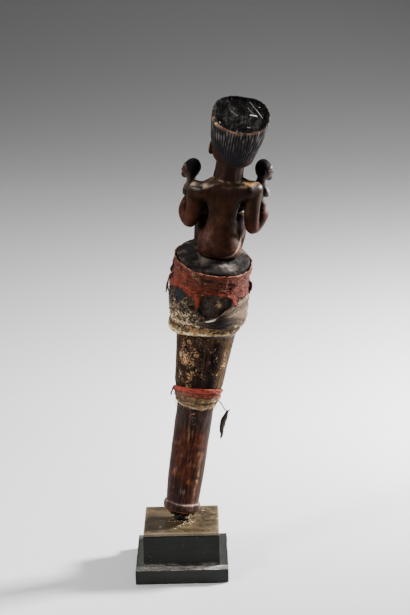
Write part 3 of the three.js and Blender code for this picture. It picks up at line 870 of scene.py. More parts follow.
def carve_child(side):
    group = "left_child" if side == LEFT else "right_child"
    hip, head, shoulder, elbow = (np.array(place[side], float) for place in
                                  (CHILD_HIP, CHILD_HEAD, CHILD_SHOULDER, CHILD_ELBOW))
    chest = shoulder + (-side * 4, 0.5, 0)
    knee = hip + (side * 3, 13, 3)
    foot = knee + (0, 2, -11)
    inner = knee + (-side * 8, 0, -1)
    hand = np.array([shoulder[0] - side * 3.5, shoulder[1] + 9, elbow[2]])

    def line(points, radii, blend=1.6):
        limb(raised([(*p, r) for p, r in zip(points, radii)]), blend, group=group)

    def part(offset, radii, blend=1.0):
        lump(head + offset + (0, 0, SEAT), radii, blend, group=group)

    line([hip, (hip + chest) / 2, chest, (chest + head) / 2, head], [7, 6.8, 6.2, 4.6, 4.4], 2)
    line([shoulder + (-side * 1.5, -1, 2), shoulder, elbow, hand], [3.4, 4, 3.3, 2.7], 1.2)
    line([chest + (-side * 4, 3, 2), chest + (-side * 6, 8, -2), chest + (-side * 3, 11, -6)], [3.4, 3, 2.6])
    line([hip, knee, foot], [5, 3.8, 2.8])
    line([foot, foot + (side * 0.6, 4.4, -0.6)], [2.7, 2.1], 0.8)
    line([hip, inner], [5, 3.8])
    drop = -12 if side == LEFT else -9
    line([hip, hip + (-side * 12, -3, drop), hip + (-side * 19, 0, drop - 8)], [6.6, 6.2, 4.4])
    line([inner, inner + (0, 1.6, -9)], [3.6, 2.7])
    part((-side * 0.5, 0, -0.4), (8.6, 9, 9.6), 1.5)
    part((side * 1.2, 0, -3.4), (7.8, 6.6, 6.6), 3)
    part((-side * 1.6, 0, 1.2), (8.2, 9.5, 9.1), 0.3)
    part((side * 7.6, 0, -6.4), (2.1, 2.4, 1), 0.6)
    part((side * 7.4, 0, -7.9), (1.9, 2.2, 1), 0.6)
    part((side * 6, 0, -8.8), (2.8, 3.2, 2.4), 2)
    line([head + (side * 7, 0, 1.6), head + (side * 8.6, 0, -2.9)], [1.1, 1.5], 1)
    for turn in (-1, 1):
        part((-side * 0.6, turn * 9, -1), (2.3, 1.5, 3.1), 0.5)
        part((side * 7.2, turn * 3.2, 0.2), (1.6, 1.9, 1.2), 0.4)
        part((side * 7, turn * 3.4, 2.8), (1.7, 2.6, 0.7), 0.6)


def carve_head():
    head_lump((0, 8.5, 6), (17.5, 17.5, 22), 2)
    carving.add(in_head(hair_distance), head_to_wand((0, 0, 24)), 46, 0.7, group="hair")
    head_lump((0, 19.5, -12.5), (8, 6, 5.4), 5)
    head_limb([(0, 24.6, 11, 1.9), (0, 27, 5, 2.6), (0, 28, 2, 2.8)], 1.6)
    for side in (LEFT, RIGHT):
        head_lump((side * 9.5, 18.6, -1), (6.4, 5.4, 7.4), 5)
        head_lump((side * 7.6, 27, 8.4), (5.4, 3.6, 3.8), 2.4, cut=True)
        head_lump((side * 7.4, 21.4, 8.2), (4.7, 3.7, 3.1), 0.5)
        head_lump((side * 2.9, 26, 1), (2.1, 2.4, 1.8), 1)
        head_limb([(side * 2.6, 24.8, 12.4, 1.2), (side * 7.4, 25, 14, 1.4), (side * 12.6, 20.8, 12.4, 1)], 2)
        upper_lid = [(side * 3, 24, 7.9, 0.6), (side * 7.4, 25.3, 10.3, 0.8), (side * 11.6, 22.2, 8.2, 0.6)]
        lower_lid = [(side * 3, 24, 7.7, 0.5), (side * 7.4, 25, 6.1, 0.6), (side * 11.6, 22.2, 8, 0.5)]
        head_limb(upper_lid, 0.8)
        head_limb(lower_lid, 0.8)
        ear = np.array([side * 22.8 - (side + 1) * 1.4, 3 + side * 4, 9.6])
        head_lump(ear, (3.6, 3, 7), 1)
        head_lump(ear + (side * 3, 1.6, 0.8), (2.6, 3, 5.2), 0.6, cut=True)
        head_lump(ear + (side * 0.8, 1.4, -3), (2.2, 2.2, 3), 0.6)
        rim = [(-1, -0.6, 6.4, 0.9), (1.2, -1.4, 6.2, 1.1), (2.7, -1.8, 3, 1.15), (2.8, -1.8, -1.4, 1.1),
               (1.7, -1.4, -5.6, 1.1), (-0.4, -0.6, -7.6, 0.9)]
        head_limb([(ear[0] + side * u, ear[1] + v, ear[2] + w, r) for u, v, w, r in rim], 0.5)
    head_limb([(-5.6, 23, -5.5, 0.8), (-2, 25.4, -4.5, 1.5), (0, 25.6, -5, 1.3), (2, 25.4, -4.5, 1.5),
               (5.6, 23, -5.5, 0.8)], 1)
    head_limb([(-5, 23, -6.8, 0.8), (0, 25.2, -8, 1.9), (5, 23, -6.8, 0.8)], 1)
    head_limb([(-5.8, 24.4, -6, 0.3), (0, 27.4, -6.2, 0.45), (5.8, 24.4, -6, 0.3)], 0.5, cut=True)


def surface_net(field, axes):
    """Points and four-sided faces of the surface where a field on a grid passes zero."""
    cells = np.array(field.shape) - 1
    corners, places = [], []
    for axis in range(3):
        low, high = [slice(None)] * 3, [slice(None)] * 3
        low[axis], high[axis] = slice(0, -1), slice(1, None)
        first, second = field[tuple(low)], field[tuple(high)]
        where = np.nonzero((first < 0) != (second < 0))
        index = np.stack(where, 1)
        share = first[where] / (first[where] - second[where])
        point = np.stack([axes[k][index[:, k]] for k in range(3)], 1)
        point[:, axis] += share * (axes[axis][index[:, axis] + 1] - axes[axis][index[:, axis]])
        u, v = (axis + 1) % 3, (axis + 2) % 3
        ring = []
        for du, dv in ((0, 0), (1, 0), (1, 1), (0, 1)):
            cell = index.copy()
            cell[:, u] -= du
            cell[:, v] -= dv
            ring.append(np.ravel_multi_index(cell.T, cells))
        ring = np.stack(ring, 1)
        inward = first[where] >= 0
        ring[inward] = ring[inward][:, ::-1]
        corners.append(ring.ravel())
        places.append(np.repeat(point, 4, axis=0))
    _, faces = np.unique(np.concatenate(corners), return_inverse=True)
    places = np.concatenate(places)
    count = np.bincount(faces)
    points = np.stack([np.bincount(faces, weights=places[:, k]) for k in range(3)], 1) / count[:, None]
    return points, faces.reshape(-1, 4)


def knife_marks(points):
    """How far the knife and knocks went in below the smooth carving."""
    knife = 0.16 * lumps(points, (5, 5, 9), 3) + 0.07 * lumps(points, (2.4, 2.4, 4), 4)
    foot = 1 - smooth(points[:, 2], 0.5, 12)
    broken = (1 - smooth(points[:, 2], 0.5, 3)) * np.maximum(rough_lumps(points, (4, 4, 8), 12), 0)
    return knife + foot * 0.5 * rough_lumps(points, 5, 8) + 2 * broken


def settle(points, rounds=3, reach=0.5):
    """Moves points onto the surface of the carving."""
    step = 0.05
    close = carving.close_to(points)
    marks = knife_marks(points)
    for _ in range(rounds):
        value = carving.at(points, close)
        slope = np.stack([carving.at(points + step * axis, close) - value for axis in np.eye(3)], 1) / step
        size = np.maximum((slope ** 2).sum(1), 0.2)
        points = points - np.clip((value + marks) / size, -reach, reach)[:, None] * slope
    return points


def straight_carving():
    carve_shaft()
    carve_body()
    carve_limbs()
    for side in (LEFT, RIGHT):
        carve_child(side)
    carve_head()
    carving.add(socket_distance, (0, 0, 8), (9, 9, 24), 0.4, cut=True, group="socket")
    fine = 0.85
    axes = [np.arange(-58, 58, fine), np.arange(-50, 50, fine),
            np.concatenate([np.arange(-13, 14, fine), np.arange(14, 272, 2.4), np.arange(272.4, 462, fine)])]
    points, faces = surface_net(carving.on_grid(axes), axes)
    thing = mesh_object("carved_wand_wood", settle(points), faces)
    split_hair(thing)
    thin = thing.modifiers.new("thin", "DECIMATE")
    triangles = sum(len(p.vertices) - 2 for p in thing.data.polygons)
    thin.ratio = min(1.0, MOST_TRIANGLES / triangles)
    apply_modifiers(thing)
    move_points(thing.data, settle(points_of(thing.data), 2, 0.2))
    thing.data.shade_smooth()
    return thing


def split_hair(thing):
    """Halves the faces on the side of the hair, so that its grooves are cut clean."""
    points = points_of(thing.data)
    own = (points - HEAD_AT) @ HEAD_TURN
    height = hair_levels(*own.T)
    side = np.abs(in_head(hair_distance)(*points.T)) < 0.5
    side &= (height > 7) & (height < 48.5)
    work = bmesh.new()
    work.from_mesh(thing.data)
    work.verts.ensure_lookup_table()
    edges = [e for e in work.edges if side[e.verts[0].index] and side[e.verts[1].index]]
    bmesh.ops.subdivide_edges(work, edges=edges, cuts=1, use_grid_fill=True)
    work.to_mesh(thing.data)
    work.free()
    move_points(thing.data, settle(points_of(thing.data), 3, 0.3))


def stroke_near(x, height, joints):
    """How far places are from a bent line."""
    best = np.full(len(x), 1e3)
    for start, end in zip(joints[:-1], joints[1:]):
        run = np.subtract(end, start)
        share = np.clip(((x - start[0]) * run[0] + (height - start[1]) * run[1]) / (run @ run), 0, 1)
        best = np.minimum(best, np.hypot(x - start[0] - share * run[0], height - start[1] - share * run[1]))
    return best


def stain_handle(coats, at):
    s, angle, fleck, blotch = at.s, at.angle, at.fleck, at.blotch
    below = s < HANDLE_TOP
    coats.within = at.shaft
    coats.lay(smooth(blotch, -0.4, 0.4) * below, 78, 38, 25)
    coats.lay(smooth(fleck + blotch, 0.3, 0.8) * 0.7, 28, 18, 14)
    coats.lay(smooth(fleck - blotch, 0.4, 0.8) * below * 0.55, 128, 86, 66)
    # Painted shade: the right side, which faces the right lamp, is toned down to a grey-brown below the cone.
    coats.lay(around(angle, -18, 30) * below * 0.85, 48, 37, 33)
    coats.lay(around(angle, -166, 32) * below * 0.6, 40, 26, 22)
    coats.lay(around(angle, -50, 6) * near(s, 34, 17) * smooth(fleck, -0.3, 0.3), 164, 122, 86)
    knock = near(angle + 80 + 6 * fleck, 0, 14) * near(s + 1.4 * fleck, 34.5, 4)
    coats.lay(smooth(knock, 0.4, 0.7), 138, 78, 36)
    coats.lay(smooth(near(angle + 84, 0, 7) * near(s, 31.5, 2.4), 0.4, 0.7), 26, 18, 15)
    scrape = near(angle + 101, 0, 17) * near(s - 0.02 * (angle + 101) + 1.4 * fleck, 23.5, 0.9)
    coats.lay(smooth(scrape, 0.35, 0.7), 158, 140, 122)
    coats.lay((1 - smooth(s + 6 * fleck, 20, 46)) * around(angle, -110, 50) * 0.85, 27, 23, 23)
    coats.lay(smooth(s + 5 * fleck, 84, 104) * (1 - smooth(s, 114, 122)) * 0.75, 36, 31, 29)
    trail = near(angle, -97, 9) * smooth(s, 66, 90) * (1 - smooth(s, 114, 120))
    coats.lay(trail * smooth(rough_lumps(at.points, (1.3, 1.3, 12), 36), 0.1, 0.6) * 0.55, 140, 100, 74)
    ring = 1 - smooth(s, 9.8, 11)
    coats.lay(ring * 0.9, 44, 28, 24)
    coats.lay(ring * smooth(fleck, 0, 0.5) * 0.6, 92, 66, 58)
    coats.lay(near(s + 0.6 * fleck, 9.4, 0.6) * smooth(blotch + fleck, -0.5, 0.1), 122, 98, 86)
    torn = 1 - smooth(s + 0.8 * fleck, 0.4, 1.4)
    coats.lay(torn, 30, 19, 14)
    coats.lay(torn * near(s + 1.2 * fleck, 0.2, 0.9) * 0.8, 156, 104, 54)
    coats.lay(torn * smooth(fleck, 0.3, 0.6) * 0.7, 84, 48, 28)


def stain_cone(coats, at):
    s, angle = at.s, at.angle
    coats.within = at.cone
    coats.lay(1, 38, 28, 24)
    khaki = smooth(angle, -62, -46) * (1 - smooth(angle, 20, 60)) + smooth(s + 4 * at.fleck, 190, 200) * 0.8
    coats.lay(np.clip(khaki, 0, 1) * 0.4, 84, 66, 46)
    stripes = lumps(np.stack([angle / 4, 0 * s, s / 90], 1), 1, 41)
    coats.lay(smooth(stripes, 0, 0.6) * 0.5, 72, 52, 36)
    coats.lay(smooth(-stripes, 0.1, 0.6) * 0.5, 26, 21, 21)
    # Painted shade: the right side, which faces the right lamp, is darkened.
    coats.lay(smooth(angle, -36, -12) * (1 - smooth(angle, 60, 100)) * 0.75, 42, 34, 29)
    coats.lay(near(angle, -70, 13) * (1 - smooth(s, 192, 202)) * 0.8, 28, 23, 24)


def stain_platform(coats, at):
    """Stains the platform, and gives where the nail's head is."""
    coats.within = at.platform
    coats.lay(1, 32, 29, 28)
    coats.lay(smooth(at.blotch + at.fleck, -0.2, 0.5) * 0.75, 78, 68, 60)
    across, ahead = at.x - NAIL[0], at.y - NAIL[1]
    nail = smooth(np.hypot(across, 0.8 * ahead), 2.9, 2.2)
    coats.lay(nail, 112, 108, 102)
    coats.lay(smooth(np.hypot(across, ahead), 1.7, 1.1), 46, 42, 40)
    return nail


def stain_mother(coats, at):
    x, y, height, own, blotch, fleck = at.x, at.y, at.height, at.own, at.blotch, at.fleck
    behind = y < 0
    coats.within = at.mother
    coats.lay(1, 33, 20, 12)
    coats.lay(smooth(blotch, -0.2, 0.5) * 0.45, 47, 25, 15)
    coats.lay(smooth(fleck, 0.2, 0.7) * 0.35, 78, 50, 30)
    coats.lay(behind * smooth(rough_lumps(at.points, 7, 31), 0, 0.6) * 0.45, 58, 27, 16)
    lower = (1 - smooth(height, 24, 46)) * behind
    coats.lay(lower * 0.75, 52, 29, 22)
    coats.lay(lower * smooth(fleck + 0.3 * blotch, -0.1, 0.6) * 0.45, 92, 60, 50)
    elbow = smooth(np.abs(x), 24, 28) * near(height, 34, 16)
    coats.lay(elbow * smooth(blotch, -0.6, 0.2) * 0.6, 74, 35, 19)
    # Painted highlight: a pale line along the rim of the right hip and the seat.
    hip = smooth(stroke_near(x, height, HIP_HIGHLIGHT_LINE) + 0.5 * fleck, 1.4, 0.5)
    coats.lay(behind * hip * (0.3 + 0.4 * smooth(x, 8, 16)), 160, 132, 106)
    # Painted highlight down the right flank of the back.
    flank_highlight = near(x - 0.24 * height, 10, 3.4) * near(height, 38, 18) * (y < -4)
    coats.lay(flank_highlight * 0.45, 104, 78, 56)
    top = smooth(height - SHOULDER_RISE * x, 75, 78)
    gold = top * near(x, 20, 9) * (y < 6)
    coats.lay(gold * smooth(blotch + 0.4 * fleck, -0.6, 0.1), 138, 92, 28)
    coats.lay(top * near(x, -20, 9) * smooth(fleck, -0.2, 0.5) * 0.6, 84, 56, 24)
    spine = near(x + 0.5 * fleck, -3, 5) * near(height, 34, 26) * behind
    coats.lay(spine * 0.45, 80, 52, 36)
    # Painted highlight: pale flecks along the ridge of the shoulders.
    along = near(x, -24, 4) + near(x, -35, 3) + near(x, 19, 7)
    ridge_highlight = near(height - SHOULDER_RISE * x, 77, 1.5 + smooth(-x, 28, 32)) * smooth(fleck, -0.3, 0.2)
    coats.lay(behind * ridge_highlight * along * 0.8, 190, 168, 142)
    neck = smooth(height, 82.5, 84) * (own[:, 1] < 8)
    coats.lay(neck, 36, 23, 19)
    bars = lumps(np.stack([at.angle / 9, 0 * x, at.s / 200], 1), 1, 43)
    coats.lay(neck * smooth(bars, 0, 0.6) * 0.35, 58, 32, 24)
    # Painted highlight: a pale flecked line where the neck meets the shoulders.
    neck_foot_highlight = near(height + 0.4 * fleck, 82.6, 0.7) * (own[:, 1] < 10)
    coats.lay(neck_foot_highlight * smooth(fleck, -0.4, 0.4) * 0.6, 150, 128, 102)
    # Painted shadow: the lowest part of the figure, where it sits on the platform, is darkened.
    coats.lay((1 - smooth(height, 0, 6)) * 0.8, 14, 11, 10)
    forearm = smooth(x, 35, 38) * near(height, 42, 14)
    coats.lay(forearm * smooth(fleck + blotch, 0.1, 0.5) * 0.4, 128, 108, 90)
    out = np.abs(own[:, 0])
    ear = smooth(out, 22.5, 24) * near(own[:, 2], 9.6, 7) * (own[:, 1] < 8)
    coats.lay(ear, 28, 18, 14)
    coats.lay(ear * smooth(out, 25.4, 26), 150, 124, 106)


def stain_children(coats, at):
    """Stains both children, and gives where their caps of hair are."""
    caps = 0
    for side, part, wear, skin, cap_edge_highlight in ((LEFT, at.left_child, 0.35, (44, 24, 20), 0.2),
                                         (RIGHT, at.right_child, 0.45, (46, 30, 24), 0.8)):
        coats.within = part
        coats.lay(1, 30, 20, 16)
        coats.lay(smooth(at.fleck, 0, 0.5) * wear, 104, 84, 68)
        head = np.array(CHILD_HEAD[side]) + (0, 0, SEAT)
        above = at.s - head[2]
        back = 0.7 * above - side * (at.x - head[0])
        face = smooth(np.linalg.norm(at.points - head, axis=1), 13, 10.5)
        cap = face * smooth(back, -4, -3)
        coats.lay(face, *skin)
        coats.lay(cap, 17, 14, 14)
        # Painted highlight: a pale arc along the edge of each child's cap of hair, stronger on the right
        # child.
        coats.lay(face * near(back, -4.6, 0.9) * smooth(above, 0, 4) * cap_edge_highlight, 176, 152, 132)
        caps = caps + part * cap
    return caps


def stain_hair(coats, at):
    """Stains the hair, and gives where its flat crown is."""
    height, turn, fleck, blotch = at.hair_height, at.turn, at.fleck, at.blotch
    out = np.hypot(at.own[:, 0], at.own[:, 1]) - hair_swell(turn * RAD, height)
    coats.within = at.hair
    coats.lay(1, 34, 32, 32)
    groove = hair_groove(turn * RAD, height)
    combed = smooth(height + 5 * fleck, 8, 22)
    coats.lay(combed * (1 - smooth(groove, 0.25, 0.6)) * 0.9, 8, 8, 8)
    strand = smooth(groove, 0.6, 0.95) * smooth(lumps(at.points, (2.4, 2.4, 9), 51) + 0.3 * blotch, -0.3, 0.6)
    light = 0.15 + 0.35 * smooth(height, 24, 40) + 0.3 * smooth(turn, -80, -30)
    coats.lay(combed * strand * light, 118, 112, 110)
    nape = (1 - smooth(height + 2.5 * fleck, 4, 15)) * (1 - 0.6 * near(turn, -85, 30))
    coats.lay(nape * 0.8, 42, 26, 19)
    temple = (1 - smooth(height + 2 * fleck, 12, 17)) * around(turn, -150, 24)
    coats.lay(smooth(temple, 0.15, 0.7) * 0.8, 46, 25, 18)
    coats.lay(near(height, 14, 8) * near(turn, -88, 26) * 0.7, 24, 22, 29)
    crown = smooth(height, 45.4, 46.4) * (1 - smooth(out, 28.8, 30.2))
    coats.lay(crown, 14, 13, 13)
    coats.lay(crown * smooth(fleck + 0.5 * blotch, 0.15, 0.7) * 0.4, 44, 42, 41)
    left = around(turn, -150, 12)
    rim = near(height, HAIR_HEIGHT - 0.8, 0.45 + 0.7 * left) * smooth(out, 26.4, 28.2)
    coats.lay(rim * around(turn, -96, 46) * smooth(fleck, -0.7, 0.3), 122, 84, 62)
    # Painted highlight: the crown's rim is paler at the left.
    coats.lay(rim * left * smooth(fleck, -0.2, 0.4), 184, 152, 122)
    return crown


def mark_wear(mesh, at, nail, caps, crown):
    """Marks where dust lies, crust clings, the grain shows and the polish is gone."""
    x, y, s, angle = at.x, at.y, at.s, at.angle
    hips = np.hypot(x - 0.5, (y + 2.6) * 1.12) - 21
    drift = 0.24 * near(hips, 4, 4) * near(x, 8, 18) * (y < 0) + 0.1 * near(hips, 8, 9)
    film = np.clip(0.9 * drift + 0.2 * smooth(at.blotch + 0.7 * at.fleck, 0, 0.8), 0, 1)
    dust = at.platform * film * (1 - nail)
    dust = dust + at.right_child * near(at.height, 70, 9) * smooth(x + 2 * at.fleck, 38, 43) * 0.55
    patches = near(angle, -122, 24) * near(s, 178, 15) + 0.6 * near(angle, -112, 22) * near(s, 154, 6)
    crust = at.cone * (0.15 + patches + 0.18 * near(angle, -42, 9) * near(s, 180, 16))
    crust = crust + 0.36 * at.shaft * near(angle, -97, 11) * smooth(s, 74, 96) * (1 - smooth(s, 112, 116))
    matt = at.hair * (0.8 + 0.2 * crown) + at.platform * 0.85 + at.shaft * (0.64 + 0.18 * (s > HANDLE_TOP))
    matt = matt + 0.5 * (at.left_child + at.right_child) + 0.34 * caps
    matt = matt + at.mother * (0.64 - 0.6 * near(at.height - SHOULDER_RISE * x, 77, 4))
    shares = {"dust": dust, "crust": crust, "grain": 0.15 + 0.85 * at.shaft, "matt": matt}
    for name, share in shares.items():
        mark(mesh, name, np.clip(share, 0, 1))
    mark(mesh, "crown", np.stack([at.own[:, 0], at.own[:, 1], at.hair * crown], 1))


def stain_carving(thing):
    """Colours the carving from its straight shape, and bends it to its place."""
    points = points_of(thing.data)
    at = SimpleNamespace(points=points, own=(points - HEAD_AT) @ HEAD_TURN)
    at.x, at.y, at.s = points.T
    at.height = at.s - SEAT
    at.angle = np.degrees(np.arctan2(at.y, at.x))
    at.hair_height = hair_levels(*at.own.T)
    at.turn = np.degrees(np.arctan2(at.own[:, 1], at.own[:, 0]))
    at.blotch = rough_lumps(points, 14, 20)
    at.fleck = rough_lumps(points, 4.5, 30)
    groups = ["shaft", "drum", "platform", "mother", "hair", "left_child", "right_child"]
    close = carving.close_to(points)
    nearest = np.argmin([np.abs(carving.at(points, close, group)) for group in groups], axis=0)
    for i, group in enumerate(groups):
        setattr(at, group, (nearest == i).astype(float))
    at.cone = at.shaft * smooth(at.s, HANDLE_TOP, HANDLE_TOP + 10)

    coats = Coats(points, 46, 25, 17)
    stain_handle(coats, at)
    stain_cone(coats, at)
    nail = stain_platform(coats, at)
    stain_mother(coats, at)
    caps = stain_children(coats, at)
    crown = stain_hair(coats, at)
    shade = 1 + 0.16 * at.blotch + 0.12 * at.fleck
    mark(thing.data, "stain", np.clip(coats.colours * shade[:, None], 0, 1))
    mark_wear(thing.data, at, nail, caps, crown)
    mark(thing.data, "straight", points)
    move_points(thing.data, bend(points))


# Cloth

def cloth_ring(name, columns, rows, low, high, radius, thick, shift=shift_at):
    """A closed band of cloth: two skins sewn at both edges. The near side is at -90 degrees."""
    angle = np.linspace(-180, 180, columns, endpoint=False)
    share = np.linspace(0, 1, rows)
    turn, level = np.meshgrid(angle, share)
    height = low(turn) + (high(turn) - low(turn)) * level
    outer = radius(turn, height, level)
    across, ahead = np.cos(turn * RAD), np.sin(turn * RAD)
    outside, inside = (np.stack([shift(height) + out * across, out * ahead, height], -1)
                       for out in (outer, outer - thick))
    points = np.concatenate([outside, inside[::-1]]).reshape(-1, 3)
    thing = mesh_object(name, points, ring_faces(2 * rows, columns))
    cloth = np.stack([turn, height, level], -1)
    cloth = np.concatenate([cloth, cloth[::-1]]).reshape(-1, 3)
    return thing, points, cloth


def lay_cloth(thing, points, cloth, coats, **masks):
    mark(thing.data, "stain", np.clip(coats.colours, 0, 1))
    mark(thing.data, "straight", points)
    spread = np.stack([cloth[:, 0] * 0.7, cloth[:, 1], np.zeros(len(cloth))], 1)
    mark(thing.data, "cloth", spread)
    for name, values in masks.items():
        mark(thing.data, name, np.clip(values, 0, 1))
    move_points(thing.data, bend(points))


def skin_noise(turn, height, size, seed):
    """Noise on the skin of the drum, which meets itself on the far side."""
    turn, height = np.broadcast_arrays(turn, height)
    skin = np.stack([40 * np.cos(turn * RAD), 40 * np.sin(turn * RAD), height], -1)
    return rough_lumps(skin.reshape(-1, 3), size, seed).reshape(turn.shape)


def wrinkle(turn, height, size, seed):
    """1 along the thin lines where cloth is creased."""
    return near(skin_noise(turn, height, size, seed), 0, 0.045)


# Torn edges of the cloth, as angles round the drum and heights.
RED_LOW = [(-180, 254), (-160, 254), (-142, 257), (-128, 257), (-120, 253), (-112, 253), (-109, 250),
           (-107.6, 245), (-106.2, 240), (-104.8, 235.5), (-103.4, 240), (-102.6, 247), (-101.8, 253),
           (-98, 256.5), (-87, 259), (-75, 258.7), (-62, 257), (-56, 254), (-48, 243.5), (-43, 255),
           (-26, 254.6), (0, 256), (60, 255), (120, 256), (180, 254)]
SASH_HIGH = [(-180, 217.5), (-112, 219), (-100, 224.5), (-94, 227), (-77, 232), (-64, 240), (-44, 247.4),
             (-22, 252.6), (0, 254), (60, 252), (110, 236), (150, 219), (180, 217.5)]
SASH_LOW = [(-180, 214.5), (-112, 216), (-94, 218.5), (-60, 217.5), (0, 216.5), (60, 216), (150, 215.5),
            (180, 214.5)]


def edge_at(table, turn):
    return np.interp((turn + 180) % 360 - 180, *zip(*table))


def hem_foot(turn):
    return HEM_FOOT + 2 * around(turn, -75, 40) - 4 * around(turn, -150, 40) + 2 * around(turn, -12, 36)


def window_mask(turn, height):
    """1 inside the torn window of the near side."""
    ragged = 0.16 * skin_noise(turn, height, 7, 50)
    across = np.abs((turn + 78) / 23) ** 3
    top = 256.5
    foot = 231 + 9 * smooth(turn, -72, -54)
    along = np.abs((height - (top + foot) / 2) / ((top - foot) / 2)) ** 3
    return smooth(across + along + ragged * 2, 1.15, 0.85)


def hem_share(turn, height):
    """Height up the rolled hem: 0 at its foot, 1 at its top and more above it."""
    return (height - hem_foot(turn)) / (HEM_HEIGHT + 4 * around(turn, -150, 46) - 3 * around(turn, -30, 46))


def pale_edge(turn, height, width):
    """1 along the pale edge under the window."""
    return near(height, 229.6 + 0.004 * (turn + 80) ** 2, width) * around(turn, -78, 9)


def base_wrap():
    def radius(turn, height, level):
        share = hem_share(turn, height)
        roll = 1.3 + 0.9 * around(turn, -172, 46)
        lifted = 0.4 * around(turn, -165, 46)
        swell = roll * np.sin(np.pi * np.clip(lifted + (1 - lifted) * share, 0, 1)) * (share < 1)
        swell = swell + 2.4 * around(turn, -166, 40) * (1 - smooth(share, 0, 1.2))
        swell = swell - 2.4 * around(turn, -8, 44) * (1 - smooth(share, 0.1, 1.5))
        lip = 0.9 * near(share, 0.95, 0.1) + 0.8 * near(share, 0.08, 0.09)
        lip = lip - near(share, 0.5, 0.28) * around(turn, -140, 34)
        crusted = around(turn, -140, 46) * smooth(height, 212, 220)
        grit = np.abs(skin_noise(turn, height, 3.6, 60)) * (0.7 + 3.0 * crusted)
        folds = 0.5 * skin_noise(turn, height, (26, 26, 7), 70)
        lip = lip + pale_edge(turn, height, 1.2)
        return profile(WRAP, height) - 0.3 + swell + lip + grit + folds - 1.7 * window_mask(turn, height)

    def low(turn):
        return hem_foot(turn) - 0.6 + 0.9 * skin_noise(turn, 0, 6, 80)

    def high(turn):
        return WRAP_TOP + 0 * turn

    columns, rows = ((330, 84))
    thing, points, cloth = cloth_ring("drum_wrap_cloth", columns, rows, low, high, radius, 0.9)
    turn, height, _ = cloth.T
    fleck = rough_lumps(points, 3.4, 90)
    blotch = rough_lumps(points, 11, 95)
    coats = Coats(points, 55, 45, 38)
    coats.lay(smooth(blotch, -0.1, 0.6) * 0.6, 96, 79, 62)
    share = hem_share(turn, height)
    worn_off = 0.8 * smooth(turn, -52, -36) * (1 - smooth(turn, 60, 120))
    hem = (1 - smooth(share + 0.12 * fleck, 0.95, 1.15)) * (1 - worn_off)
    coats.lay(hem, 140, 106, 68)
    inside = near(share, 0.52, 0.24) * around(turn, -146, 36)
    coats.lay(inside * smooth(fleck, -0.6, 0.3), 98, 58, 40)
    coats.lay(hem * smooth(fleck + 0.6 * blotch, -0.1, 0.3) * 0.85, 84, 54, 32)
    specked = smooth(fleck - 0.5 * blotch, 0.2 - 0.25 * around(turn, -56, 40), 0.5)
    coats.lay(hem * specked * 0.9, 32, 24, 21)
    wide = 0.12 + 0.08 * around(turn, -140, 50)
    cream = hem * (near(share, 0.97, wide) + near(share, 0.1, wide)) * smooth(fleck, -0.6, 0)
    coats.lay(cream * (0.65 + 0.35 * around(turn, -130, 50)), 246, 222, 172)
    dull = smooth(turn + 6 * fleck, -62, -44) * (1 - smooth(turn, 40, 100)) * (1 - smooth(height, 224, 230))
    coats.lay(dull * 0.9, 58, 44, 33)
    coats.lay(dull * smooth(fleck, 0.15, 0.5), 128, 104, 74)
    # Painted shadow: a dark band round the near side, above the hem.
    shadow_band = near(height, 223 + 4.5 * around(turn, -94, 30), 4) * around(turn, -70, 40)
    coats.lay(shadow_band * 0.85, 48, 43, 41)
    from_blue = np.abs((turn + 139) / 12) ** 3 + np.abs((height - 250.5) / 8.5) ** 3
    blue = smooth(from_blue + 0.5 * fleck, 1.2, 0.7)
    coats.lay(blue, 37, 37, 40)
    window = window_mask(turn, height)
    coats.lay(window, 60, 51, 44)
    coats.lay(window * smooth(fleck, 0.0, 0.5) * 0.8, 102, 88, 64)
    coats.lay(window * smooth(-fleck, 0.3, 0.6) * 0.7, 24, 20, 19)
    # Painted shade: a dark ring round the edge of the torn window.
    coats.lay(smooth(window, 0.05, 0.4) * (1 - smooth(window, 0.6, 1)) * 0.8, 22, 20, 18)
    tan = near(turn, -74, 7) * near(height, 245.8, 5)
    coats.lay(window * smooth(tan + 0.6 * fleck, 0.5, 0.75), 166, 134, 104)
    coats.lay(window * near(turn, -77, 3) * near(height, 243.8, 2.2), 40, 28, 23)
    # Painted highlight along the raised lip under the window.
    coats.lay(smooth(pale_edge(turn, height, 1.4), 0.3, 0.6), 200, 186, 166)
    fallen = 0.25 + 0.75 * (1 - smooth(height, 226, 246))
    crust = around(turn, -136, 42) * smooth(height, 212, 218) * fallen * (1 - blue) * (1 - window)
    crust = crust + 0.2 * (1 - window) * (1 - blue) * smooth(fleck, 0, 0.5)
    stuck = (0.34 + 0.24 * around(turn, -100, 60)) * smooth(blotch + fleck, -0.6, 0.1) * (1 - 0.8 * cream)
    crust = crust * (1 - hem) + hem * stuck
    lay_cloth(thing, points, cloth, coats, crust=crust)
    finish_piece(thing, "base_wrap", cloth_finish("crusted_drum_cloth", crusted=True))


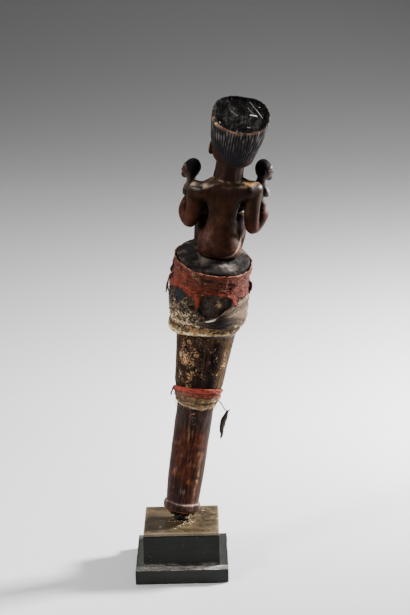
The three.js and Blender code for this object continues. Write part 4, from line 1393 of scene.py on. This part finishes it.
def brown_sash():
    def low(turn):
        return edge_at(SASH_LOW, turn) - 0.6 * skin_noise(turn, 0, 8, 100)

    def high(turn):
        return edge_at(SASH_HIGH, turn) + 0.5 * skin_noise(turn, 0, 5, 110)

    def radius(turn, height, level):
        full = smooth(high(turn) - low(turn), 3, 14)
        ridges = 0.45 * np.sin(level * 24 + 2.4 * skin_noise(turn, height, 24, 120))
        folds = 0.6 * skin_noise(turn, height, (18, 18, 6), 130)
        thin = 0.7 * near(level, 1, 0.1) + 0.7 * near(level, 0, 0.08)
        rolled = 1.3 * near(level, 1, 0.16) * near(turn, -84, 8)
        return profile(WRAP, height) + 1.1 + full * (1.2 + ridges + folds - thin) + rolled

    columns, rows = ((330, 44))
    thing, points, cloth = cloth_ring("sash_cloth", columns, rows, low, high, radius, 0.8)
    turn, height, level = cloth.T
    fleck = rough_lumps(points, 3.4, 140)
    bands = lumps(np.stack([turn / 60, level * 9, np.zeros(len(turn))], 1), 1, 150)
    coats = Coats(points, 96, 77, 62)
    coats.lay(smooth(bands, 0.0, 0.5) * 0.8, 64, 48, 38)
    coats.lay(smooth(-bands, 0.1, 0.6) * 0.7, 134, 114, 94)
    # Painted shadow: the near side of the sash is dark below a wavering line.
    line = 230.5 + 5 * near(turn, -70, 26) + 1.5 * fleck
    coats.lay(smooth(line - height, -1.2, 1.2) * near(turn, -72, 34) * 0.95, 36, 31, 30)
    speckled = smooth(228 - height, -2, 3) * smooth(turn, -60, -40)
    coats.lay(speckled * 0.8, 74, 58, 44)
    coats.lay(speckled * smooth(fleck, 0.1, 0.5), 150, 124, 88)
    strands = lumps(np.stack([turn / 50, level * 26, np.zeros(len(turn))], 1), 1, 155)
    coats.lay(smooth(strands, 0.1, 0.5) * smooth(height, 228, 236) * 0.45, 136, 117, 96)
    coats.lay(near(level, 1, 0.05) * smooth(fleck, -0.4, 0.2) * 0.6, 170, 148, 124)
    # Painted highlight along the rolled upper edge at the front.
    coats.lay(smooth(near(level, 1, 0.17) * near(turn, -85, 8), 0.3, 0.6), 236, 224, 204)
    coats.lay(smooth(fleck, 0.3, 0.8) * 0.5, 48, 38, 33)
    lay_cloth(thing, points, cloth, coats, crust=0.35 * speckled)
    finish_piece(thing, "brown_sash", cloth_finish("striped_sash_cloth", crusted=True))


def red_band():
    def low(turn):
        return edge_at(RED_LOW, turn) + 1.1 * skin_noise(turn, 0, 3.4, 160)

    def high(turn):
        dip = 6.5 * np.maximum(0, -np.sin((turn - 12) * RAD))
        return RED_TOP - dip + 1.0 * skin_noise(turn, 0, 6, 170)

    def radius(turn, height, level):
        seated = smooth(height, 258, 274)
        over = (profile(WRAP, height) + 2.2) * (1 - seated) + (PLATFORM_RADIUS + 1.2) * seated
        folds = 1.1 * skin_noise(turn, height, (20, 20, 3.6), 180) + 0.4 * skin_noise(turn, height, 3, 190)
        folds = folds - 0.7 * wrinkle(turn, height, (30, 30, 6), 182) - 0.5 * wrinkle(turn, height, 13, 184)
        turned = smooth(level + 0.1 * skin_noise(turn, height, 12, 195), 0.68, 0.74)
        torn = turn + 3 * skin_noise(turn, height, 6, 197)
        flap = 0.8 * smooth(torn, -140, -143) * smooth(turn, -172, -168)
        crease = 0.9 * near(turn, -67, 1.6) * smooth(height, 262, 266) * (1 - smooth(height, 272, 276))
        curl = 0.9 * near(level, 0, 0.07) * skin_noise(turn, 0, 4, 200)
        return over + 0.7 + folds + turned + flap - crease + curl

    columns, rows = ((440, 60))
    thing, points, cloth = cloth_ring("red_cloth", columns, rows, low, high, radius, 0.9)
    turn, height, level = cloth.T
    fleck = rough_lumps(points, 3.6, 210)
    blotch = rough_lumps(points, (16, 16, 8), 220)
    coats = Coats(points, 108, 48, 34)
    coats.lay(smooth(blotch, 0.0, 0.6) * 0.7, 84, 44, 33)
    side = np.clip(around(turn, -160, 26) + around(turn, -20, 26), 0, 1)
    coats.lay(side * smooth(fleck, -0.3, 0.5) * 0.35, 124, 68, 54)
    rubbed = near(turn, -99, 30) * near(height, 272.5, 7)
    coats.lay(smooth(rubbed + 0.4 * fleck, 0.35, 0.8) * 0.8, 66, 46, 34)
    coats.lay(smooth(near(turn, -112, 12) * near(height, 273, 4) + 0.4 * fleck, 0.5, 0.9) * 0.6, 128, 88, 52)
    coats.lay(near(turn, -54, 9) * near(height, 271, 6) * 0.7, 76, 32, 26)
    coats.lay(smooth(fleck + blotch, 0.3, 0.9) * 0.5, 72, 36, 28)
    bright = smooth(-blotch + 0.6 * near(level, 0.12, 0.14), 0.1, 0.6) * (1 - smooth(level, 0.5, 0.7))
    coats.lay(bright * 0.8, 144, 57, 41)
    # Painted shade: dark lines along the creases.
    crease_shade = np.maximum(wrinkle(turn, height, (30, 30, 6), 182), wrinkle(turn, height, 13, 184))
    coats.lay(crease_shade * 0.85, 50, 26, 21)
    # A pale flecked line 1.2 mm below each dark crease line.
    crease_pale_line = wrinkle(turn, height + 1.2, (30, 30, 6), 182) * smooth(fleck, 0.1, 0.6)
    coats.lay(crease_pale_line * 0.75, 176, 130, 100)
    # Painted shade: the right side is darkened.
    coats.lay(around(turn, -20, 34) * 0.85, 68, 36, 28)
    coats.lay(near(turn, -86, 22) * smooth(fleck - blotch, -0.2, 0.5) * 0.35, 112, 66, 36)
    # Painted shade: the left side is darkened.
    coats.lay(around(turn, -160, 36) * 0.45, 78, 40, 31)
    shadow = near(level + 0.1 * skin_noise(turn, height, 12, 195), 0.69, 0.03)
    coats.lay(shadow * 0.7, 48, 22, 18)
    edge = near(level, 1, 0.03) * smooth(fleck, -0.2, 0.4)
    coats.lay(edge * 0.7, 176, 130, 106)
    tack = np.hypot((turn + 118) * 0.7, height - 277)
    coats.lay(smooth(tack, 2.2, 1.5) * 0.8, 168, 132, 104)
    coats.lay(smooth(tack, 1.4, 0.8), 30, 25, 22)
    coats.lay(near(level, 0.74, 0.02) * smooth(fleck, 0.1, 0.5) * 0.7, 190, 150, 120)
    coats.lay(near(turn, -66, 1.1) * near(height, 270, 5) * 0.7, 206, 160, 138)
    coats.lay(near(level, 0, 0.04) * smooth(fleck, -0.2, 0.5) * 0.8, 52, 22, 18)
    # Painted shade: a dark spot stands for the shade in a hole; the cloth is not cut there.
    hole_shade = smooth(np.hypot((turn + 45) * 0.7, (height - 252.5) * 0.6) + 0.3 * fleck, 1.5, 1.0)
    coats.lay(hole_shade, 16, 13, 12)
    lay_cloth(thing, points, cloth, coats)
    finish_piece(thing, "red_band", cloth_finish("worn_red_cloth"))


def centred(height):
    return 0 * height


def lower_bands():
    def middle(turn):
        across, facing = np.cos(turn * RAD), -np.sin(turn * RAD)
        dip = 1.3 * around(turn, -60, 14)
        return 130.8 + 1.5 * across + 0.8 * np.maximum(facing, 0) + 5 * np.minimum(facing, 0) - dip

    def upper(turn):
        return 137.8 + 1.2 * np.cos(turn * RAD) - 6.4 * np.sin(turn * RAD)

    def under(turn):
        facing = -np.sin(turn * RAD)
        return 121.6 - 0.6 * np.cos(turn * RAD) - 3.4 * np.maximum(facing, 0) + 1.5 * np.minimum(facing, 0)

    def band(name, node, foot, top, seed, material, paint_on):
        def low(turn):
            return foot(turn) + 1.4 * skin_noise(turn, 0, 4, seed)

        def high(turn):
            return top(turn) + 0.6 * skin_noise(turn, 0, 6, seed + 5)

        def radius(turn, height, level):
            folds = 1.5 * skin_noise(turn, height, (12, 12, 2.6), seed + 10)
            folds = folds + 0.4 * skin_noise(turn, height, 2.4, seed)
            overlap = 0.9 * smooth(level + 0.25 * skin_noise(turn, 0, 16, seed + 15), 0.52, 0.58)
            bulge = 0.7 * np.sin(np.pi * np.clip(level, 0, 1))
            return profile(SHAFT, height) + 1.2 + bulge + folds + overlap

        columns, rows = ((260, 34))
        thing, points, cloth = cloth_ring(name, columns, rows, low, high, radius, 0.8, centred)
        lay_cloth(thing, points, cloth, paint_on(points, cloth))
        finish_piece(thing, node, material)

    def red(points, cloth):
        turn, height, level = cloth.T
        fleck = rough_lumps(points, 3.2, 240)
        coats = Coats(points, 150, 58, 44)
        wander = 0.2 * rough_lumps(points, (16, 16, 40), 262)
        coats.lay(smooth(fleck, 0.1, 0.6) * 0.6, 96, 44, 34)
        # Painted shade where one turn of the band overlaps the next.
        coats.lay(near(level + wander, 0.52, 0.06) * 0.8, 46, 24, 20)
        coats.lay(smooth(0.45 - level + wander, 0, 0.12) * 0.6, 112, 66, 52)
        coats.lay(smooth(-fleck, 0.25, 0.6) * 0.6, 182, 108, 88)
        # Painted shade: dark lines along creases.
        coats.lay(wrinkle(turn, height, 9, 266) * 0.75, 52, 28, 23)
        # Painted shade: the right side is darkened.
        coats.lay(around(turn, -30, 30) * 0.4, 88, 50, 40)
        brown = around(turn, -150, 44) * smooth(0.55 - level + wander, 0, 0.15)
        coats.lay(brown * 0.75, 94, 72, 60)
        return coats

    def brown(points, cloth):
        level = cloth[:, 2]
        fleck = rough_lumps(points, 3.2, 250)
        coats = Coats(points, 98, 78, 60)
        wander = 0.2 * rough_lumps(points, (16, 16, 40), 292)
        coats.lay(smooth(fleck, 0.0, 0.5) * 0.8, 58, 42, 34)
        coats.lay(smooth(-fleck - wander, 0.1, 0.5) * 0.9, 168, 132, 84)
        cream = near(level + wander, 0.06, 0.07) * smooth(fleck + 0.5 * wander, -0.2, 0.4)
        coats.lay(cream, 214, 190, 152)
        # Painted shade where one turn of the band overlaps the next.
        coats.lay(near(level + wander, 0.5, 0.07) * 0.8, 34, 26, 23)
        return coats

    band("lower_red_cloth", "lower_red_band", middle, upper, 260, cloth_finish("worn_lower_red_cloth"),
         red)
    band("lower_brown_cloth", "lower_brown_band", under, lambda turn: middle(turn) + 0.6, 280,
         cloth_finish("frayed_lower_cloth"), brown)


# Thread and pod

def tube(name, joints, sides, steps=6, flat=1.0, ripple=0.0, seed=0):
    """A closed tube through joints, each a place and a radius; flat squeezes its section."""
    rows = smooth_path(joints, steps)
    places, radii = rows[:, :3], rows[:, 3]
    along = np.gradient(places, axis=0)
    along /= np.linalg.norm(along, axis=1)[:, None]
    aside = np.array([0.0, 1.0, 0.0])
    turn = np.arange(sides)[:, None] * 2 * np.pi / sides
    rings = []
    for place, radius, run in zip(places, radii, along):
        across = aside - run * (aside @ run)
        across /= np.linalg.norm(across)
        rings.append(place + radius * (flat * np.cos(turn) * across + np.sin(turn) * np.cross(run, across)))
    points = np.concatenate(rings)
    if ripple:
        centre = np.repeat(places, sides, axis=0)
        points = centre + (points - centre) * (1 + ripple * rough_lumps(points, (1.6, 1.6, 4), seed))[:, None]
    count = len(places)
    points = np.vstack([points, places[0], places[-1]])
    quads = ring_faces(count, sides, closed=False)
    turn = np.arange(sides)
    on = (turn + 1) % sides
    last = (count - 1) * sides
    foot = np.stack([on, turn, np.full(sides, count * sides)], 1)
    top = np.stack([last + turn, last + on, np.full(sides, count * sides + 1)], 1)
    triangles = np.vstack([quads[:, [0, 1, 2]], quads[:, [0, 2, 3]], foot, top])
    return mesh_object(name, points, triangles)


def pod_and_thread():
    joints = [(20.4, -1.2, 125.4, 0.9), (23.4, -1, 125.6, 0.9), (25.2, -0.9, 125, 0.6),
              (27, -0.6, 123.4, 0.6), (28.6, -0.3, 121, 0.6), (30.2, 0.2, 119.4, 0.55),
              (32.2, 0.6, 116.4, 0.6), (34.8, 0.9, 115.4, 0.6)]
    thread = tube("pod_thread_strand", joints, sides=8)
    bend_mesh(thread.data)
    finish_piece(thread, "pod_thread", plain_finish("dark_thread", linear(58, 44, 34), 0.85, scale=900.0))
    joints = [(37.6, 1.2, 117, 0.5), (36.6, 1.1, 115.6, 0.8), (35.2, 1, 114, 1.3), (34.4, 1, 110.5, 2.3),
              (33, 1, 105.5, 2.9), (32, 1, 100, 3), (31.8, 1, 94.5, 2.4), (32.6, 1, 89.5, 1.9),
              (32.6, 1, 85.4, 1.2), (32.2, 1, 83.2, 0.5)]
    pod = tube("dried_pod", joints, sides=18, steps=7, flat=0.62, ripple=0.3, seed=300)
    bend_mesh(pod.data)
    skin = plain_finish("dried_pod_skin", linear(56, 38, 28), 0.5, scale=500.0, amount=0.5, relief=0.0008)
    finish_piece(pod, "seed_pod", skin)


# Frayed edges, spread by geometry nodes

def fraying():
    """Threads hung from an edge, given how many, how long and how thick they are."""
    tree = bpy.data.node_groups.new("frayed_threads", "GeometryNodeTree")
    face = tree.interface
    face.new_socket("Edge", in_out="INPUT", socket_type="NodeSocketGeometry")
    kinds = {"Count": "Int", "Length": "Float", "Thickness": "Float", "Seed": "Int", "Thread": "Material"}
    named = [face.new_socket(name, in_out="INPUT", socket_type="NodeSocket" + kind).identifier
             for name, kind in kinds.items()]
    face.new_socket("Threads", in_out="OUTPUT", socket_type="NodeSocketGeometry")
    given = tree.nodes.new("NodeGroupInput").outputs

    def form(kind, values, output=0):
        return add_node(tree, "GeometryNode" + kind, values).outputs[output]

    def chance(kind, values, output=0):
        values = {**values, "Seed": given["Seed"]}
        return add_node(tree, "FunctionNodeRandomValue", values, data_type=kind).outputs[output]

    def vector(operation, values):
        return add_node(tree, "ShaderNodeVectorMath", values, operation=operation).outputs[0]

    edge = form("MeshToCurve", {"Mesh": given["Edge"]})
    edge = form("ResampleCurve", {"Curve": edge, "Count": given["Count"]})
    strand = form("CurvePrimitiveLine", {"Start": (0, 0, 0.3), "End": (0, 0, -1)})
    strand = form("ResampleCurve", {"Curve": strand, "Count": 7})
    lean = chance("FLOAT_VECTOR", {"Min": (-0.5, -0.5, -3), "Max": (0.5, 0.5, 3)})
    length = chance("FLOAT", {2: 0.3, 3: 1.0}, 1)
    length = {0: length, 1: given["Length"]}
    length = add_node(tree, "ShaderNodeMath", length, operation="MULTIPLY").outputs[0]
    hung = form("InstanceOnPoints", {"Points": edge, "Instance": strand, "Rotation": lean, "Scale": length})
    hung = form("RealizeInstances", {0: hung})
    curl = add_node(tree, "ShaderNodeTexNoise", {"Scale": 0.45, "Detail": 2.0}).outputs["Color"]
    curl = vector("SUBTRACT", {0: curl, 1: (0.5, 0.5, 0.5)})
    curl = vector("MULTIPLY", {0: curl, 1: (2.4, 2.4, 0.8)})
    curl = vector("SCALE", {0: curl, 3: form("SplineParameter", {}, "Factor")})
    hung = form("SetPosition", {"Geometry": hung, "Offset": curl})
    ring = form("CurvePrimitiveCircle", {"Resolution": 5, "Radius": given["Thickness"]})
    solid = form("CurveToMesh", {"Curve": hung, "Profile Curve": ring, "Fill Caps": True})
    solid = form("SetMaterial", {"Geometry": solid, "Material": given["Thread"]})
    tree.links.new(solid, tree.nodes.new("NodeGroupOutput").inputs[0])
    return tree, named


def frayed_edges():
    tree, named = fraying()

    def fray(name, turns, height, out, count, length, thick, colour, seed, shift=DRUM_SHIFT):
        turn = np.arange(*turns, 2.0)
        level = edge_at(height, turn) if isinstance(height, list) else height + 0 * turn
        points = np.stack([shift + out * np.cos(turn * RAD), out * np.sin(turn * RAD), level], 1)
        mesh = bpy.data.meshes.new(name)
        mesh.from_pydata(points.tolist(), [(i, i + 1) for i in range(len(turn) - 1)], [])
        thing = new_object(name, mesh)
        material = plain_finish(name + "_yarn", linear(*colour), 0.9, scale=900.0)
        spread = thing.modifiers.new("spread", "NODES")
        spread.node_group = tree
        for socket, value in zip(named, (count, length, thick, seed, material)):
            spread[socket] = value
        apply_modifiers(thing)
        bend_mesh(thing.data)
        finish_piece(thing, None, material)

    fray("red_edge_threads", (-180, 180), RED_LOW, 42.6, 110, 3.6, 0.2, (104, 40, 30), 1)
    fray("left_red_threads", (-176, -150), 262, 43, 7, 6, 0.35, (96, 36, 28), 3)
    fray("left_crust_threads", (-178, -160), 246, 43, 7, 5, 0.4, (50, 42, 34), 6)
    fray("lower_edge_threads", (-180, 180), 119, 22.6, 40, 2.6, 0.18, (150, 122, 84), 8,
         0)

    def rag(name, places, colour, seed, shift=DRUM_SHIFT):
        joints = [(shift + out * math.cos(turn * RAD), out * math.sin(turn * RAD), height, radius)
                  for turn, out, height, radius in places]
        thing = tube(name, joints, sides=12, steps=7, flat=0.5, ripple=0.6, seed=seed)
        bend_mesh(thing.data)
        cloth = plain_finish(name + "_cloth", linear(*colour), 0.95, scale=700.0, amount=0.6)
        finish_piece(thing, None, cloth)

    rag("left_hanging_rag", [(-160, 42, 268, 1), (-163, 44, 264, 1.5), (-165, 45.4, 258, 1),
                                         (-166, 46, 252, 1.4), (-165, 46, 247, 1), (-164, 46.6, 243.5, 0.5)],
        (66, 27, 23), 401)
    rag("left_upper_rag", [(-168, 38.6, 284, 1), (-166, 41, 282, 1.6), (-164, 42.6, 276, 1.2),
                                       (-165, 43.6, 271, 1.4), (-166, 43.4, 267, 0.6)], (54, 25, 22), 404)
    rag("right_hanging_rag", [(-12, 41, 267, 1.2), (-11, 43.4, 265, 1.7), (-12, 44.2, 260, 1.9),
                                          (-14, 43.8, 256.5, 1.3), (-15, 44, 254, 0.6)], (66, 18, 18), 402)
    rag("lower_hanging_rag", [(-172, 24.4, 137, 0.9), (-170, 26.6, 136, 1.1),
                                                (-168, 28, 132.6, 1), (-168, 28.8, 129, 1.1),
                                                (-170, 28, 126.4, 0.6)],
        (44, 26, 24), 403, 0)


# Stand

def block(name, side, low, high, back, edge, chips, wear, seed):
    """A square block with worn edges, as a closed mesh whose edges carry the wear, and its points."""
    work = bmesh.new()
    bmesh.ops.create_cube(work, size=1)
    size = np.array([side, side, high - low])
    middle = np.array([0, back, (low + high) / 2])
    for vertex in work.verts:
        vertex.co = middle + size * vertex.co
    bmesh.ops.bevel(work, geom=list(work.edges), offset=edge, segments=3, affect="EDGES", profile=0.5)
    longest = [e for e in work.edges if e.calc_length() > 12]
    bmesh.ops.subdivide_edges(work, edges=longest, cuts=24, use_grid_fill=True)
    bmesh.ops.recalc_face_normals(work, faces=work.faces)
    mesh = bpy.data.meshes.new(name)
    work.to_mesh(mesh)
    work.free()
    thing = new_object(name, mesh)
    points = points_of(mesh)
    from_face = size / 2 - np.abs(points - middle)
    worn = near(np.sort(from_face, axis=1)[:, 1], 0, 1.1)
    nick = worn * smooth(rough_lumps(points, 7, seed), 0.25, 0.6)
    inward = -np.sign(points - middle) * (from_face < 1.5)
    points = points + inward * (nick * chips)[:, None]
    mark(mesh, "worn", np.clip(wear * worn * (0.62 + 0.5 * rough_lumps(points, 9, seed + 5)), 0, 1))
    move_points(mesh, points * MM)
    return thing, points


def stand():
    black = linear(31, 31, 30)
    plinth, points = block("plinth_wood", PLINTH_SIDE, 0, PLINTH_HEIGHT, 0, 0.7, 0.3, 0.9, 310)
    on_top = smooth(points[:, 2], PLINTH_HEIGHT - 0.6, PLINTH_HEIGHT - 0.1)
    beside = np.maximum(np.abs(points[:, 0]), np.abs(points[:, 1] - BLOCK_BACK))
    near_side = points[:, 1] < -40
    right = smooth(points[:, 0], 40, 42)
    # Dust on the ledge; less of it on the right side, where the right lamp falls, is a painted shade.
    ledge = 0.1 - 0.18 * right + 0.12 * near(beside, 44, 4) + (0.4 + 0.5 * near(beside, 42, 3)) * near_side
    mark(plinth.data, "dust", np.clip(on_top * ledge, 0, 1))
    finish_piece(plinth, "stand_plinth", painted_finish("black_painted_plinth", black * 1.35))
    body, points = block("block_wood", BLOCK_SIDE, BLOCK_LOW, BLOCK_TOP, BLOCK_BACK, 0.5, 0.1, 0.55, 320)
    chipped = 0.12 + 0.8 * smooth(rough_lumps(points, 8, 325), -0.1, 0.4) * (points[:, 1] < -30)
    mark(body.data, "dust", chipped * near(points[:, 2], BLOCK_LOW, 2))
    finish_piece(body, "stand_block", painted_finish("black_painted_block", black * 0.88))
    plate, _ = block("top_plate", SLAB_SIDE, SLAB_LOW, SLAB_TOP, BLOCK_BACK, 1.1, 0.05, 0.4, 330)
    finish_piece(plate, "cap_slab", slab_finish())
    steel = plain_finish("dark_polished_steel", linear(78, 76, 75), 0.25, 1.0, 260.0, 0.5)
    finish_piece(rod_piece(), "steel_rod", steel)
    finish_piece(solder(), None, solder_finish())


def solder():
    """The ragged metal run round the foot of the rod."""
    columns, rows = 160, 26
    turn, share = np.meshgrid(np.linspace(-180, 180, columns, endpoint=False), np.linspace(0, 1, rows))
    reach = 13.5 + 5 * skin_noise(turn, 0, 22, 350) + 2.4 * skin_noise(turn, 0, 5, 351)
    reach = reach + 3.5 * around(turn, -150, 30) + 3 * around(turn, -40, 30) + 2 * around(turn, -90, 20)
    out = (ROD_RADIUS - 1.5) + (reach - ROD_RADIUS + 1.5) * share
    lumpy = skin_noise(turn, 40 * share, 5, 352) + 0.5 * skin_noise(turn, 24 * share, 2, 353)
    rise = (1 - share ** 2) * (1.7 + 2.2 * lumpy)
    x, y = out * np.cos(turn * RAD), out * np.sin(turn * RAD) - 1
    under, over = (np.stack([x, y, level], -1) for level in
                   (SLAB_TOP - 0.6 + 0 * rise, SLAB_TOP - 0.3 + np.maximum(rise, 0.1)))
    points = np.concatenate([under, over[::-1]]).reshape(-1, 3)
    return mesh_object("solder_run", points * MM, ring_faces(2 * rows, columns))


def solder_finish():
    f = Finish("old_solder", Metallic=0.7, Specular_IOR_Level=0.5)
    place = f.place()
    clots = f.noise(place, 380, 6, 0.7, 0.4)
    colour = f.mix(f.step(clots, 0.42, 0.5), linear(40, 29, 20), linear(112, 92, 64))
    colour = f.mix(f.step(clots, 0.6, 0.65), colour, linear(190, 178, 156))
    f.set(Base_Color=colour, Roughness=f.step(clots, 0.4, 0.6, 0.6, 0.28), Normal=f.bump(clots, 0.0012, 0.9))
    return f.material


def rod_piece():
    low, high = bend([[0, 0, -1], [0, 0, ROD_IN_WAND]]) / MM
    run = (high - low) / np.linalg.norm(high - low)
    foot = np.array([0, 0, SLAB_TOP + 1])
    places = [(0, 0, SLAB_TOP - ROD_IN_BLOCK), (0, 0, SLAB_TOP - 10), foot, low - 5 * run, low, high]
    rod = tube("steel_rod_bar", [(*place, ROD_RADIUS) for place in places], sides=32)
    move_points(rod.data, points_of(rod.data) * MM)
    return rod


# Floor, backdrop and light

def backdrop():
    reach, start, side = 2.2, 0.5, 4.0
    turn = np.linspace(0, np.pi / 2, 40)
    rows = [(-2.6, 0.0)] + [(start + reach * math.sin(t), reach * (1 - math.cos(t))) for t in turn]
    rows.append((start + reach, reach + 2))
    points = [(x, y, z) for y, z in rows for x in (-side, side)]
    faces = [(2 * i, 2 * i + 1, 2 * i + 3, 2 * i + 2) for i in range(len(rows) - 1)]
    sweep = mesh_object("backdrop", points, faces)
    # The sweep's colour paints the fall of light: it brightens behind the stand and darkens up the wall, a
    # little sooner on the right.
    f = Finish("backdrop_painted_falloff", Roughness=1.0, Specular_IOR_Level=0.0)
    across, away = (f.part(f.place(), axis) for axis in (0, 1))
    far = f.plus(away, f.times(across, 0.12))
    ramp = add_node(f.tree, "ShaderNodeValToRGB", {0: f.times(far, 1 / reach)})
    ramp.color_ramp.interpolation = "B_SPLINE"
    tones = [(0.0, 0.6), (0.27, 0.82), (0.46, 0.47), (0.62, 0.161), (0.76, 0.096), (0.88, 0.082),
             (1.0, 0.076)]
    for i, (place, tone) in enumerate(tones):
        stop = ramp.color_ramp.elements[i] if i < 2 else ramp.color_ramp.elements.new(place)
        stop.position = place
        stop.color = (tone, tone, tone, 1)
    # Near black on the floor in front of the stand, below the view.
    colour = f.mix(f.step(away, -0.6, -0.2), (0.04, 0.04, 0.04), ramp.outputs[0])
    # Painted shade: in front the right side is darker, further back the left; the floor before the stand is
    # darker too.
    slant = f.plus(f.step(away, -0.35, 0.5, -0.96, 0.42), f.step(away, 0.9, 1.5, 0.0, -0.42))
    slant = f.times(f.math("MINIMUM", f.most(across, -0.35), 0.35), slant)
    f.set(Base_Color=f.dim(colour, f.plus(slant, f.step(away, -0.35, 0.0, 0.75, 0.935))))
    sweep.data.materials.append(f.material)


def lamp(name, place, target, size, power):
    data = bpy.data.lights.new(name, "AREA")
    data.shape = "RECTANGLE"
    data.size, data.size_y = size
    data.energy = power
    away = np.array(place, float) - np.array(target, float)
    away /= np.linalg.norm(away)
    side = np.cross((0, 0, 1), away)
    side /= np.linalg.norm(side)
    new_object(name, data, (side, np.cross(away, side), away), place)


def lights():
    world = bpy.data.worlds.new("soft_room")
    world.use_nodes = True
    glow = world.node_tree.nodes["Background"].inputs
    glow["Color"].default_value = (1, 1, 1, 1)
    glow["Strength"].default_value = 0.05
    bpy.context.scene.world = world
    target = (0.03, 0, 0.28)
    lamp("overhead_softbox", (0.1, 0.45, 2.1), (0.05, 0.25, 0), (1.8, 1.4), 22)
    lamp("right_softbox", (1.37, 0.49, 0.94), target, (0.34, 0.34), 150)
    lamp("left_softbox", (-1.3, 0.35, 0.8), target, (0.4, 0.9), 5)
    lamp("front_left_softbox", (-1.4, -0.95, 1.4), target, (0.45, 0.45), 39)
    lamp("front_fill", (-0.5, -2.2, 1.5), target, (2.2, 1.4), 5)
    lamp("top_spark", (-0.1, 0.7, 1.5), (0.06, 0, 0.42), (0.16, 0.16), 3)


make_camera()
wand = straight_carving()
stain_carving(wand)
finish_piece(wand, "carved_wand", carved_finish())
base_wrap()
brown_sash()
red_band()
lower_bands()
pod_and_thread()
frayed_edges()
stand()
backdrop()
lights()
